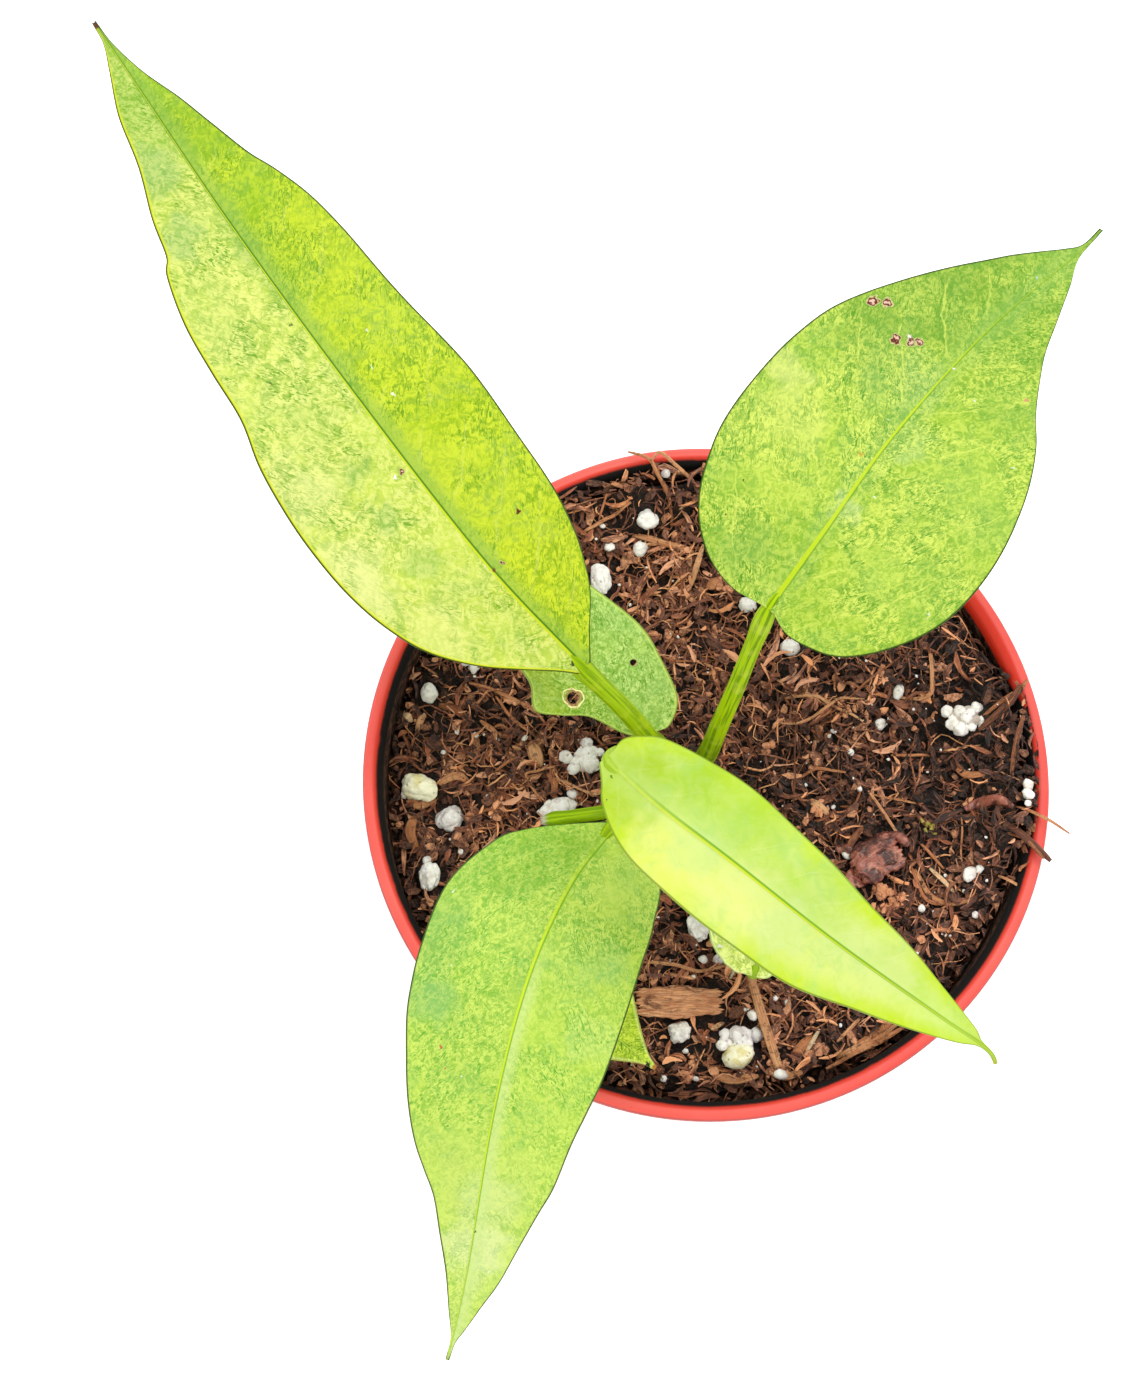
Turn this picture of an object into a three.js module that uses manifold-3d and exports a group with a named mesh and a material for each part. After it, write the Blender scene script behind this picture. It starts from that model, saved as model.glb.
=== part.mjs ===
// A young aroid with seven leaves, growing in potting mix in a round plastic nursery pot.
// Millimetres, +Z up. The origin is the middle of the pot's flat base.

import * as THREE from 'three';
import * as BufferGeometryUtils from 'three/addons/utils/BufferGeometryUtils.js';
import Module from 'manifold-3d';

const wasm = await Module();
wasm.setup();

// Driving dimensions of the pot

const rimRadius = 52.5;
const potHeight = 88;
const footRadius = 36.5;
const wallThickness = 1.2;
const baseThickness = 1.4;
const bandHeight = 15;
const bandStep = 2.2;
const rimWidth = 2.4;
const rimDepth = 3.2;
const shoulderRadius = 47.2;
const drainHoles = { count: 8, ring: 25, radius: 2.6 };
const potSides = 48;

// Driving dimensions of the potting mix

const soilLevel = 80.5;
const soilMound = 0.8;
const soilBank = 2;
const soilWallGap = 0.3;
const soilRim = 47.3;
const soilRings = 11;
const soilSides = potSides;
const looseCount = { flakes: 42, crumbs: 20, fibres: 20 };

// Driving dimensions of the plant

const clearance = 0.3;
const bladeThickness = 0.6;
const ribSwell = { depth: 0.9, halfWidth: 1.2 };
const rowSpread = 1.15;
const stem = { x: -3.4, y: -1.8, radius: 3.4, foot: 66, top: 91 };

// Colours, each with its roughness

const finishes = {
  pot: { color: 0xe8574c, roughness: 0.42 },
  soil: { color: 0x4a3226, roughness: 0.95 },
  bark: { color: 0xb0724a, roughness: 0.85 },
  perlite: { color: 0xf4f1ea, roughness: 0.9 },
  stem: { color: 0x7f9a3a, roughness: 0.6 },
  matureLeaf: { color: 0xb4dc4e, roughness: 0.45 },
  youngLeaf: { color: 0xdcf07a, roughness: 0.4 },
  oldLeaf: { color: 0x9fc95a, roughness: 0.5 },
};

const finishOf = (name) => new THREE.MeshStandardMaterial({ ...finishes[name], metalness: 0 });

// Solids: a closed mesh whose corners are merged can be joined to others and cut

function toSolid(geometry) {
  const bare = geometry.clone();
  bare.deleteAttribute('normal');
  bare.deleteAttribute('uv');
  const merged = BufferGeometryUtils.mergeVertices(bare, 1e-4);
  return new wasm.Manifold(new wasm.Mesh({
    numProp: 3,
    vertProperties: new Float32Array(merged.attributes.position.array),
    triVerts: new Uint32Array(merged.index.array),
  }));
}

function toGeometry(solid) {
  const mesh = solid.getMesh();
  const geometry = new THREE.BufferGeometry();
  geometry.setAttribute('position', new THREE.BufferAttribute(mesh.vertProperties, 3));
  geometry.setIndex(new THREE.BufferAttribute(mesh.triVerts, 1));
  geometry.computeVertexNormals();
  return geometry;
}

const joined = (solids) => solids.reduce((whole, solid) => whole.add(solid));

// A cut can leave scraps: only the largest body is kept

function largestOf(solid) {
  const bodies = solid.decompose();
  return bodies.reduce((best, body) => (body.volume() > best.volume() ? body : best));
}

// Seeded random numbers from 0 to 1, so that each build lays the same mix

function randomFrom(seed) {
  let state = seed;
  return () => {
    state = (state * 1664525 + 1013904223) % 4294967296;
    return state / 4294967296;
  };
}

// Pot: one moulded shell with a stepped band below the rolled rim, and a ring of drain holes

const wallRadiusAt = (z) => {
  const bandFoot = potHeight - bandHeight;
  if (z > bandFoot + bandStep) return rimRadius - rimWidth;
  return footRadius + (shoulderRadius - footRadius) * (z / bandFoot);
};

function potSolid() {
  const bandFoot = potHeight - bandHeight;
  const bandRadius = rimRadius - rimWidth + wallThickness * 0.5;
  const profile = [
    [0, 0],
    [footRadius - 1.6, 0],
    [footRadius, 1.6],
    [shoulderRadius, bandFoot],
    [bandRadius - 0.7, bandFoot + bandStep * 0.6],
    [bandRadius, potHeight - rimDepth],
    [rimRadius - 0.4, potHeight - rimDepth + 0.3],
    [rimRadius, potHeight - 1.2],
    [rimRadius - 0.5, potHeight - 0.3],
    [rimRadius - 1.3, potHeight],
    [rimRadius - rimWidth + 0.2, potHeight - 0.3],
    [bandRadius - wallThickness, potHeight - 1.4],
    [bandRadius - wallThickness - 0.5, bandFoot + bandStep],
    [shoulderRadius - wallThickness, bandFoot + 0.2],
    [footRadius - wallThickness + 0.4, baseThickness + 1.2],
    [footRadius - wallThickness - 1.2, baseThickness],
    [0, baseThickness],
  ].map(([radius, z]) => new THREE.Vector2(radius, z));
  const shell = new THREE.LatheGeometry(profile, potSides).rotateX(Math.PI / 2);
  const holes = [];
  for (let i = 0; i < drainHoles.count; i += 1) {
    const angle = (i / drainHoles.count) * Math.PI * 2;
    const plug = new THREE.CylinderGeometry(drainHoles.radius, drainHoles.radius, 8, 12);
    plug.rotateX(Math.PI / 2);
    plug.translate(drainHoles.ring * Math.cos(angle), drainHoles.ring * Math.sin(angle), 0);
    holes.push(toSolid(plug));
  }
  return toSolid(shell).subtract(joined(holes));
}

// Surface of the mix: it lies higher to the right and at the back, where it is banked up against
// the wall, with a low mound at the stem

const bankedSide = (angle) => 0.5 + 0.5 * Math.sin(angle + 0.8);

function surfaceLevel(x, y) {
  const mound = soilMound * Math.exp(-(x * x + y * y) / 500);
  const bank = soilBank * bankedSide(Math.atan2(y, x)) * (Math.hypot(x, y) / soilRim) ** 3;
  return soilLevel + 0.04 * x + 0.03 * y + mound + bank;
}

const surfaceCrumb = (x, y) =>
  0.55 * Math.sin(0.62 * x + 1.9 * Math.sin(0.31 * y))
  + 0.5 * Math.sin(0.71 * y - 1.6 * Math.sin(0.37 * x + 0.8))
  + 0.35 * Math.sin(1.37 * x + 1.13 * y);

function surfaceAt(x, y) {
  const besideStem = Math.min(1, Math.hypot(x - stem.x, y - stem.y) / 10);
  return surfaceLevel(x, y) + besideStem * surfaceCrumb(x, y);
}

const soilEdgeAt = (angle) =>
  soilRim + 0.9 * Math.sin(angle + 0.4) + 0.3 * Math.sin(3 * angle + 1.2) + 0.2 * Math.sin(7 * angle);

const edgeDipAt = (angle) => 0.3 + 2 * (1 - bankedSide(angle));

// The body of the mix is a turned plug that fits the pot, its top then raised by the formula above

function soilBody() {
  const bandFoot = potHeight - bandHeight;
  const floor = baseThickness + soilWallGap;
  const inner = (z) => wallRadiusAt(z) - wallThickness - soilWallGap;
  const profile = [
    new THREE.Vector2(0, floor),
    new THREE.Vector2(inner(floor + 1.5) - 1.6, floor),
    new THREE.Vector2(inner(floor + 1.5), floor + 1.5),
    new THREE.Vector2(inner(bandFoot) - 0.6, bandFoot - 0.5),
  ];
  for (let ring = soilRings; ring >= 0; ring -= 1) {
    profile.push(new THREE.Vector2(soilRim * (ring / soilRings), soilLevel));
  }
  const body = new THREE.LatheGeometry(profile, soilSides).rotateX(Math.PI / 2);
  const place = body.attributes.position;
  for (let i = 0; i < place.count; i += 1) {
    if (Math.abs(place.getZ(i) - soilLevel) > 1e-6) continue;
    const x = place.getX(i);
    const y = place.getY(i);
    const share = Math.hypot(x, y) / soilRim;
    const angle = Math.atan2(y, x);
    const spread = 1 + (soilEdgeAt(angle) / soilRim - 1) * share;
    const dip = share > 0.99 ? edgeDipAt(angle) : 0;
    place.setXYZ(i, x * spread, y * spread, surfaceAt(x * spread, y * spread) - dip);
  }
  return toSolid(body);
}

// Loose pieces of the mix: flat flakes, round crumbs and bent fibres, sunk well into the surface

const stemRoom = 9;

function scatterPlace(random, reach) {
  const radius = Math.sqrt(stemRoom ** 2 + (reach ** 2 - stemRoom ** 2) * random());
  const angle = random() * Math.PI * 2;
  return [radius * Math.cos(angle), radius * Math.sin(angle)];
}

function flakeSolid(random) {
  const [x, y] = scatterPlace(random, soilRim - 4);
  const flake = new THREE.BoxGeometry(3 + 4 * random(), 1.6 + 1.8 * random(), 0.9 + 0.5 * random());
  flake.rotateX((random() - 0.5) * 0.9);
  flake.rotateY((random() - 0.5) * 0.9);
  flake.rotateZ(random() * Math.PI);
  flake.translate(x, y, surfaceAt(x, y) + 0.35);
  return toSolid(flake);
}

function crumbSolid(random) {
  const [x, y] = scatterPlace(random, soilRim - 3);
  const size = 0.9 + 1.1 * random();
  const crumb = new THREE.IcosahedronGeometry(1, 0);
  crumb.scale(size * (0.9 + 0.4 * random()), size, size * 0.8);
  crumb.rotateZ(random() * Math.PI);
  crumb.translate(x, y, surfaceAt(x, y) + 0.25 * size);
  return toSolid(crumb);
}

function stripAlong(points, width, thickness, steps) {
  const section = new THREE.Shape();
  section.moveTo(-thickness / 2, -width / 2);
  section.lineTo(thickness / 2, -width / 2);
  section.lineTo(thickness / 2, width / 2);
  section.lineTo(-thickness / 2, width / 2);
  section.closePath();
  const path = new THREE.CatmullRomCurve3(points, false, 'catmullrom', 0.5);
  return new THREE.ExtrudeGeometry(section, { steps, bevelEnabled: false, extrudePath: path });
}

function fibreSolid(random) {
  const [x, y] = scatterPlace(random, soilRim - 9);
  const angle = random() * Math.PI * 2;
  const half = 3.5 + 3.5 * random();
  const bow = (random() - 0.5) * 5;
  const points = [-1, -0.35, 0.35, 1].map((share) => {
    const along = share * half;
    const aside = bow * (1 - share * share);
    const px = x + along * Math.cos(angle) - aside * Math.sin(angle);
    const py = y + along * Math.sin(angle) + aside * Math.cos(angle);
    const lift = share * share > 0.9 ? -0.4 : 0.35;
    return new THREE.Vector3(px, py, surfaceAt(px, py) + lift);
  });
  return toSolid(stripAlong(points, 0.8, 0.7, 5));
}

// Fibres that climb from the mix and bend over the rim without touching it

const rimFibres = [
  {
    width: 0.8,
    route: [[-4.5, 42, 81.5], [-5.2, 45.5, 85.6], [-7.2, 48.4, 89], [-8.6, 50.6, 89.8], [-11.8, 51.6, 90]],
  },
  {
    width: 0.8,
    route: [[-8.2, 50.2, 89.9], [-6.8, 51.4, 90.4], [-4.6, 49.8, 89.7], [-1.6, 48, 87], [1.4, 46.4, 82.5]],
  },
  { width: 0.8, route: [[46.4, -3.6, 82.5], [48.2, -4.8, 88.6], [52.1, -6.9, 90.1], [55.1, -9, 90.2]] },
  { width: 1.3, route: [[44, -4.6, 82.5], [46.6, -7.8, 88.2], [49.6, -10.6, 90], [52.1, -13.2, 90.2]] },
];

const straw = { width: 1.6, route: [[6.6, -30.5, 81.2], [8.6, -37, 80.4], [10.6, -43.3, 79]] };

function looseMix() {
  const random = randomFrom(2027);
  const pieces = [];
  for (let i = 0; i < looseCount.flakes; i += 1) pieces.push(flakeSolid(random));
  for (let i = 0; i < looseCount.crumbs; i += 1) pieces.push(crumbSolid(random));
  for (let i = 0; i < looseCount.fibres; i += 1) pieces.push(fibreSolid(random));
  for (const { width, route } of [...rimFibres, straw]) {
    const points = route.map((point) => new THREE.Vector3(...point));
    pieces.push(toSolid(stripAlong(points, width, 0.8, 7)));
  }
  return joined(pieces);
}

// Perlite: pale expanded lumps, each with its place and its length, width and height

const perlite = [
  { x: -8.5, y: 42.3, size: [3.6, 3.4, 3.2], turn: 0 },
  { x: -15.9, y: 32.7, size: [3.2, 5.4, 3.4], turn: 0.2 },
  { x: -44, y: 0, size: [6.2, 4.6, 4.2], turn: -0.3 },
  { x: -39.1, y: -4.7, size: [4.5, 4, 3.6], turn: 0.4 },
  { x: -42.6, y: 15, size: [2.9, 3.4, 2.8], turn: 0.1 },
  { x: -42.2, y: -14, size: [3.4, 4.9, 3.4], turn: 0.1 },
  { x: 40.3, y: 10.2, size: [8, 6, 4.2], turn: 0.3 },
  { x: 13.8, y: 22.2, size: [3.2, 3, 2.8], turn: 0 },
  { x: -1.1, y: -21.9, size: [3.6, 4.8, 3.4], turn: 0.5 },
  { x: -3.9, y: -38, size: [3.7, 3.5, 3.2], turn: 0 },
  { x: 4.8, y: -39.4, size: [6.6, 5.6, 3.8], turn: 0.4 },
  { x: -18.4, y: 4.4, size: [4.8, 3.8, 3], turn: 0.8 },
  { x: -22.4, y: -3.2, size: [6.2, 3.6, 3], turn: 0.2 },
  { x: 7.3, y: 29.1, size: [2.9, 2.8, 2.6], turn: 0.3 },
];

function lumpGeometry(lump, swell) {
  const shape = new THREE.IcosahedronGeometry(1, Math.max(...lump.size) > 4.4 ? 1 : 0);
  const place = shape.attributes.position;
  for (let i = 0; i < place.count; i += 1) {
    const x = place.getX(i);
    const y = place.getY(i);
    const z = place.getZ(i);
    const bump = 1 + 0.09 * Math.sin(4 * x + lump.x) * Math.sin(3.5 * y + lump.y) + 0.05 * Math.sin(5 * z);
    place.setXYZ(i, x * bump, y * bump, z * bump);
  }
  const [length, width, height] = lump.size;
  shape.scale(length / 2 + swell, width / 2 + swell, height / 2 + swell);
  shape.rotateZ(lump.turn);
  return shape;
}

const lumpHeight = (lump) => surfaceAt(lump.x, lump.y) + lump.size[2] * 0.22;

// Two flat pieces of bark that lie on the mix

const barks = {
  bark_slab: { x: -4, y: -33.6, size: [13.8, 5, 1.6], turn: 0.02, tilt: 0.04 },
  bark_chunk: { x: 26.4, y: -11.6, size: [8.4, 6.8, 2.6], turn: 0.5, tilt: -0.12 },
};

function barkGeometry(bark, swell) {
  const [length, width, height] = bark.size;
  const outline = new THREE.Shape();
  outline.moveTo(-length / 2 - swell, -width * 0.34 - swell);
  outline.lineTo(length * 0.18, -width / 2 - swell);
  outline.lineTo(length / 2 + swell, -width * 0.3 - swell);
  outline.lineTo(length * 0.42 + swell, width * 0.36 + swell);
  outline.lineTo(-length * 0.08, width / 2 + swell);
  outline.lineTo(-length * 0.47 - swell, width * 0.4 + swell);
  outline.closePath();
  const depth = height + 2 * swell;
  const slab = new THREE.ExtrudeGeometry(outline, { depth, bevelEnabled: false });
  slab.translate(0, 0, -depth / 2);
  slab.rotateY(bark.tilt);
  slab.rotateZ(bark.turn);
  return slab;
}

const barkLevel = (bark) => surfaceLevel(bark.x, bark.y) + bark.size[2] * 0.5 + 0.3;

// The mix is joined in one body, with a plain hole for the stem and a seat for each lump and bark

function soilSolid() {
  const hole = new THREE.CylinderGeometry(stem.radius + clearance, stem.radius + clearance, 60, 16);
  hole.rotateX(Math.PI / 2);
  hole.translate(stem.x, stem.y, stem.foot - clearance + 30);
  const cuts = [toSolid(hole)];
  for (const lump of perlite) {
    cuts.push(toSolid(lumpGeometry(lump, clearance).translate(lump.x, lump.y, lumpHeight(lump))));
  }
  for (const bark of Object.values(barks)) {
    cuts.push(toSolid(barkGeometry(bark, clearance).translate(bark.x, bark.y, barkLevel(bark))));
  }
  return largestOf(soilBody().add(looseMix()).subtract(joined(cuts)));
}

// Stem: a short crown that stands in the mix and carries every leaf stalk

function stemGeometry() {
  const { radius, foot, top } = stem;
  const profile = [
    [0, foot],
    [radius - 1, foot],
    [radius, foot + 1.5],
    [radius, top - 5],
    [radius - 0.5, top - 1.6],
    [radius - 1.6, top],
    [0, top],
  ].map(([r, z]) => new THREE.Vector2(r, z));
  return new THREE.LatheGeometry(profile, 14).rotateX(Math.PI / 2).translate(stem.x, stem.y, 0);
}

// Leaves. Each midrib runs through points in space, from the stalk to the drip tip. The outline is
// given flat: how far along the midrib, and how far across, on the left and on the right of it.
// fold is the rise of each half beside the midrib, curl bends its edge down again, and wave is the
// height and length of the waves in the edge.

const leaves = {
  leaf_upper_left: {
    finish: 'matureLeaf',
    stalk: [[-6.5, -1, 88.6], [-7.4, 0.2, 97], [-10, 1.7, 107], [-14.8, 4.3, 117]],
    stalkRadius: [1.7, 1.4],
    midrib: [
      [-20, 7.3, 125], [-34.7, 19.6, 138], [-52.9, 40.8, 148],
      [-69.7, 63.9, 150], [-83.6, 86.2, 146], [-90.9, 98.1, 143],
    ],
    left: [
      [0, 1.2], [3.9, 3.8], [9, 7.6], [14, 11.4], [20, 15.1], [26, 17.2], [32, 18.2],
      [38.5, 18.3], [45, 17.9], [51.5, 17], [57.8, 15.1], [65, 14.4], [72.5, 13.6], [79.3, 11.8],
      [82, 10.2], [88, 8.8], [96, 6.4], [105, 4.8], [113, 2.2], [118, 0.6], [122, 0.3],
    ],
    right: [
      [0, 1.2], [3.4, 4.2], [8.2, 9], [14, 11.9], [20, 13.3], [26, 14.2], [32, 14.7],
      [38.5, 15], [45, 14.9], [51.5, 14.3], [58, 13.6], [65, 12.9], [72.5, 12.2], [79.3, 11.3],
      [85, 9.7], [90, 7.6], [97, 5.6], [104, 4], [111, 1.8], [117, 0.5], [122, 0.3],
    ],
    fold: 0.22, curl: 0.006, wave: [0.5, 24], rows: 24, columns: 3,
  },
  leaf_upper_right: {
    finish: 'matureLeaf',
    stalk: [[-1.8, 1, 85.5], [-0.6, 2.1, 91], [0, 2.4, 97], [0.6, 3.2, 107], [2, 5.5, 120], [3.7, 9, 132.4]],
    stalkRadius: [1.6, 1.25],
    midrib: [
      [4.9, 11.6, 141], [12.4, 21.4, 146], [22.2, 34.9, 148],
      [35.7, 50.7, 146], [49.7, 64.4, 141], [54.2, 69.4, 139],
    ],
    left: [
      [0, 1.2], [-0.5, 5.4], [0.5, 9.4], [2.5, 12.7], [5.6, 15.7], [9.8, 18], [15.5, 19.7],
      [21, 20.2], [28, 19.8], [33.3, 19.1], [38.5, 18], [43.7, 15.9], [49.4, 12.9], [54, 10.2],
      [58.8, 7.6], [63.5, 5.5], [67.9, 3.4], [71.2, 1.7], [73.8, 0.5], [78, 0.3],
    ],
    right: [
      [0, 1.2], [-1.2, 4.4], [-0.7, 8.4], [0.5, 11.7], [3.1, 14.7], [6.4, 17.4], [10.1, 19.7],
      [14.3, 21.3], [19.5, 22], [25, 21.8], [30.6, 20.8], [36.2, 19], [41.3, 16.4], [45.2, 13.4],
      [49.4, 10.8], [54.3, 8.2], [60, 5.9], [66.5, 3.1], [71.5, 0.7], [78, 0.3],
    ],
    fold: 0.15, curl: 0.004, wave: [0.35, 26], rows: 22, columns: 3,
  },
  leaf_lower_left: {
    finish: 'matureLeaf',
    stalk: [[-5.2, -4.4, 87], [-6.8, -6.4, 96], [-9.8, -9.1, 107], [-13.4, -12.8, 117]],
    stalkRadius: [1.6, 1.3],
    midrib: [
      [-15.8, -14.8, 120], [-22, -24.2, 125], [-27.8, -37.6, 126],
      [-32.3, -54.7, 120], [-36, -76.1, 105], [-38.8, -88.1, 94],
    ],
    left: [
      [0, 1.2], [0.4, 6], [3.8, 10.9], [11.6, 13.2], [19, 14.1], [26, 14.5], [32.7, 14.4],
      [39.2, 13.8], [44.6, 12.7], [50, 11.5], [56.6, 10.2], [61.1, 8.7], [67.1, 6.8], [73.1, 4.9],
      [77.7, 3], [82.4, 1.4], [85, 0.6], [88.5, 0.3],
    ],
    right: [
      [0, 1.2], [4.8, 5.9], [8.2, 9.6], [11.3, 12.5], [18.6, 15.5], [27.3, 15.7], [32.4, 15.4],
      [36.4, 14.9], [41.4, 13.7], [46.5, 12.4], [52.8, 10.3], [57.2, 8.3], [61.2, 6.4], [66.7, 4.8],
      [73, 2.9], [79.6, 1.4], [84.5, 0.3], [88.5, 0.3],
    ],
    fold: 0.06, curl: 0.01, wave: [0.4, 25], rows: 20, columns: 3,
  },
  leaf_young: {
    finish: 'youngLeaf',
    stalk: [[-3.8, -2, 91.7], [-5.2, -3, 105], [-9, -5.8, 125], [-14.2, -9.4, 143]],
    stalkRadius: [1.5, 1.2],
    midrib: [
      [-17.9, -12.3, 152], [-11.4, -19.3, 155], [-1.5, -27, 155],
      [12.1, -36.7, 151], [26.4, -45.7, 146], [33, -49.6, 143.1], [34.6, -51.8, 142],
    ],
    left: [
      [0, 1.2], [-0.2, 3.4], [1.5, 5.4], [4.5, 7.3], [11, 8.9], [20, 9.3], [32, 8.2],
      [45, 6.1], [56, 3.5], [62.5, 1.4], [64.5, 0.4], [68.2, 0.25],
    ],
    right: [
      [0, 1.2], [2.7, 3], [5.4, 5.1], [11.7, 7.9], [19, 8.8], [28, 9], [38, 8.3],
      [47, 5.9], [56, 3.4], [61.5, 1.6], [64.8, 0.3], [68.2, 0.25],
    ],
    fold: 0.25, curl: 0.012, wave: [0.35, 15], rows: 15, columns: 3,
  },
  leaf_old_holed: {
    finish: 'oldLeaf',
    stalk: [[-5.5, 0.7, 83.6], [-6.4, 2.7, 88.5], [-7.5, 3.7, 95.5]],
    stalkRadius: [1.2, 1],
    midrib: [[-9, 3.1, 102], [-18.4, 12.3, 108], [-27.4, 21.6, 111], [-35.1, 30.8, 110]],
    left: [
      [0, 0.9], [3.7, 3.3], [9, 5.4], [12.3, 8.6], [15.4, 11], [18.4, 9], [21, 8.4],
      [27, 7.4], [33, 4.4], [37.5, 1.2], [39.6, 0.35],
    ],
    right: [
      [0, 0.9], [-0.6, 3.1], [1.9, 6.7], [8.8, 8.8], [13.6, 9.4], [19.3, 8.7], [25, 7.4],
      [31, 4.8], [36, 2], [38.4, 0.7], [39.6, 0.35],
    ],
    fold: 0.2, curl: 0.008, wave: [0.2, 14], rows: 11, columns: 2,
    holes: [{ u: 10.3, v: -5, radius: 0.6 }, { u: 12.5, v: 5.1, radius: 1.2 }],
  },
  leaf_old_pointed: {
    finish: 'oldLeaf',
    stalk: [[-5.5, -4.2, 83.4], [-10.6, -8.4, 86.6], [-21, -16, 90], [-28.5, -21.6, 93]],
    stalkRadius: [1.15, 0.95],
    midrib: [[-31.5, -24.6, 96], [-22.6, -33.8, 98], [-14.8, -40.6, 95], [-8.2, -45.1, 91]],
    left: [
      [0, 0.9], [1.5, 5], [6, 8], [12, 8.8], [17, 8.2], [21.5, 6.6], [26.9, 3.1],
      [30.6, 1], [32.8, 0.35],
    ],
    right: [
      [0, 0.9], [1.5, 5], [6, 8], [12, 8.6], [17, 7.6], [21.5, 5.8], [25.9, 3.1],
      [30.2, 0.9], [32.8, 0.35],
    ],
    fold: 0.3, curl: 0.01, wave: [0.15, 12], rows: 9, columns: 2,
  },
  leaf_low: {
    finish: 'oldLeaf',
    stalk: [[-1.8, -4.6, 83.8], [1.2, -10.5, 86], [4.4, -22, 88], [6.2, -29.5, 90.6]],
    stalkRadius: [1.1, 0.9],
    midrib: [[6.2, -31.7, 94], [7.8, -25.5, 98], [10.3, -18.9, 99], [13.3, -13.2, 97]],
    left: [
      [0, 0.9], [0.1, 2.8], [2.1, 5.6], [5, 7.8], [9, 8.8], [13.5, 7.4], [17.6, 3.8], [21.4, 0.35],
    ],
    right: [
      [0, 0.9], [0.4, 2.2], [1.6, 3.4], [4.4, 6], [9, 7.4], [13.5, 6.4], [17.6, 3.4], [21.4, 0.35],
    ],
    fold: 0.2, curl: 0.01, wave: [0.15, 10], rows: 8, columns: 2,
  },
};

const curveThrough = (points) =>
  new THREE.CatmullRomCurve3(points.map((point) => new THREE.Vector3(...point)), false, 'catmullrom', 0.5);

// A place on the bent blade, u along the midrib and v to its left, with depth below the upper face

function bladePlace(leaf, midrib, length, u, v, edge, depth) {
  const share = THREE.MathUtils.clamp(u / length, 0, 1);
  const along = midrib.getTangentAt(share);
  const left = new THREE.Vector3(0, 0, 1).cross(along).normalize();
  const up = along.clone().cross(left);
  const ribRadius = 0.6;
  const [waveHeight, waveLength] = leaf.wave;
  const waveStart = v > 0 ? 0 : 1.7;
  const rise = leaf.fold * (Math.hypot(v, ribRadius) - ribRadius)
    - leaf.curl * v * v
    + waveHeight * edge * edge * Math.sin((u / waveLength) * Math.PI * 2 + waveStart);
  return midrib.getPointAt(share)
    .addScaledVector(along, u - share * length)
    .addScaledVector(left, v)
    .addScaledVector(up, rise - depth);
}

// The blade's two faces carry the same triangles, and a strip along the outline joins them

function bladeSolid(leaf) {
  const { rows, columns } = leaf;
  const midrib = curveThrough(leaf.midrib);
  const length = midrib.getLength();
  const flat = (side) => curveThrough(side.map(([u, v]) => [u, v, 0]));
  const sides = { left: flat(leaf.left), right: flat(leaf.right) };
  const bladeLength = leaf.left.at(-1)[0];
  const across = columns * 2 + 1;
  const corners = [];
  for (const face of [0, 1]) {
    for (let row = 0; row <= rows; row += 1) {
      const t = row / rows;
      const ribPlace = bladeLength * t ** rowSpread;
      for (let column = -columns; column <= columns; column += 1) {
        const edge = Math.abs(column) / columns;
        const margin = (column > 0 ? sides.left : sides.right).getPoint(t);
        const u = THREE.MathUtils.lerp(ribPlace, margin.x, edge);
        const v = margin.y * edge * Math.sign(column);
        const swell = ribSwell.depth * (1 - t) * Math.exp(-((v / ribSwell.halfWidth) ** 2));
        const depth = face * (bladeThickness + swell);
        corners.push(bladePlace(leaf, midrib, length, u, v, edge, depth));
      }
    }
  }
  const corner = (face, row, column) => (face * (rows + 1) + row) * across + column;
  const triangles = [];
  const quad = (a, b, c, d) => triangles.push(a, b, c, a, c, d);
  for (let row = 0; row < rows; row += 1) {
    for (let column = 0; column < across - 1; column += 1) {
      quad(corner(0, row, column), corner(0, row + 1, column),
        corner(0, row + 1, column + 1), corner(0, row, column + 1));
      triangles.push(corner(1, row, column), corner(1, row + 1, column + 1), corner(1, row + 1, column));
      triangles.push(corner(1, row, column), corner(1, row, column + 1), corner(1, row + 1, column + 1));
    }
    quad(corner(0, row, 0), corner(1, row, 0), corner(1, row + 1, 0), corner(0, row + 1, 0));
    quad(corner(0, row, across - 1), corner(0, row + 1, across - 1),
      corner(1, row + 1, across - 1), corner(1, row, across - 1));
  }
  for (let column = 0; column < across - 1; column += 1) {
    quad(corner(0, 0, column), corner(0, 0, column + 1), corner(1, 0, column + 1), corner(1, 0, column));
    quad(corner(0, rows, column), corner(1, rows, column),
      corner(1, rows, column + 1), corner(0, rows, column + 1));
  }
  const geometry = new THREE.BufferGeometry().setFromPoints(corners);
  geometry.setIndex(triangles);
  let blade = toSolid(geometry);
  for (const { u, v, radius } of leaf.holes ?? []) {
    const above = bladePlace(leaf, midrib, length, u, v, 0, -3);
    const below = bladePlace(leaf, midrib, length, u, v, 0, 4);
    const drill = new THREE.ExtrudeGeometry(
      new THREE.Shape().absarc(0, 0, radius, 0, Math.PI * 2),
      { steps: 1, bevelEnabled: false, curveSegments: 5, extrudePath: new THREE.LineCurve3(above, below) },
    );
    blade = blade.subtract(toSolid(drill));
  }
  return blade;
}

// A stalk is a plain extruded tube, then narrowed about its own path from its foot to its top

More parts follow.
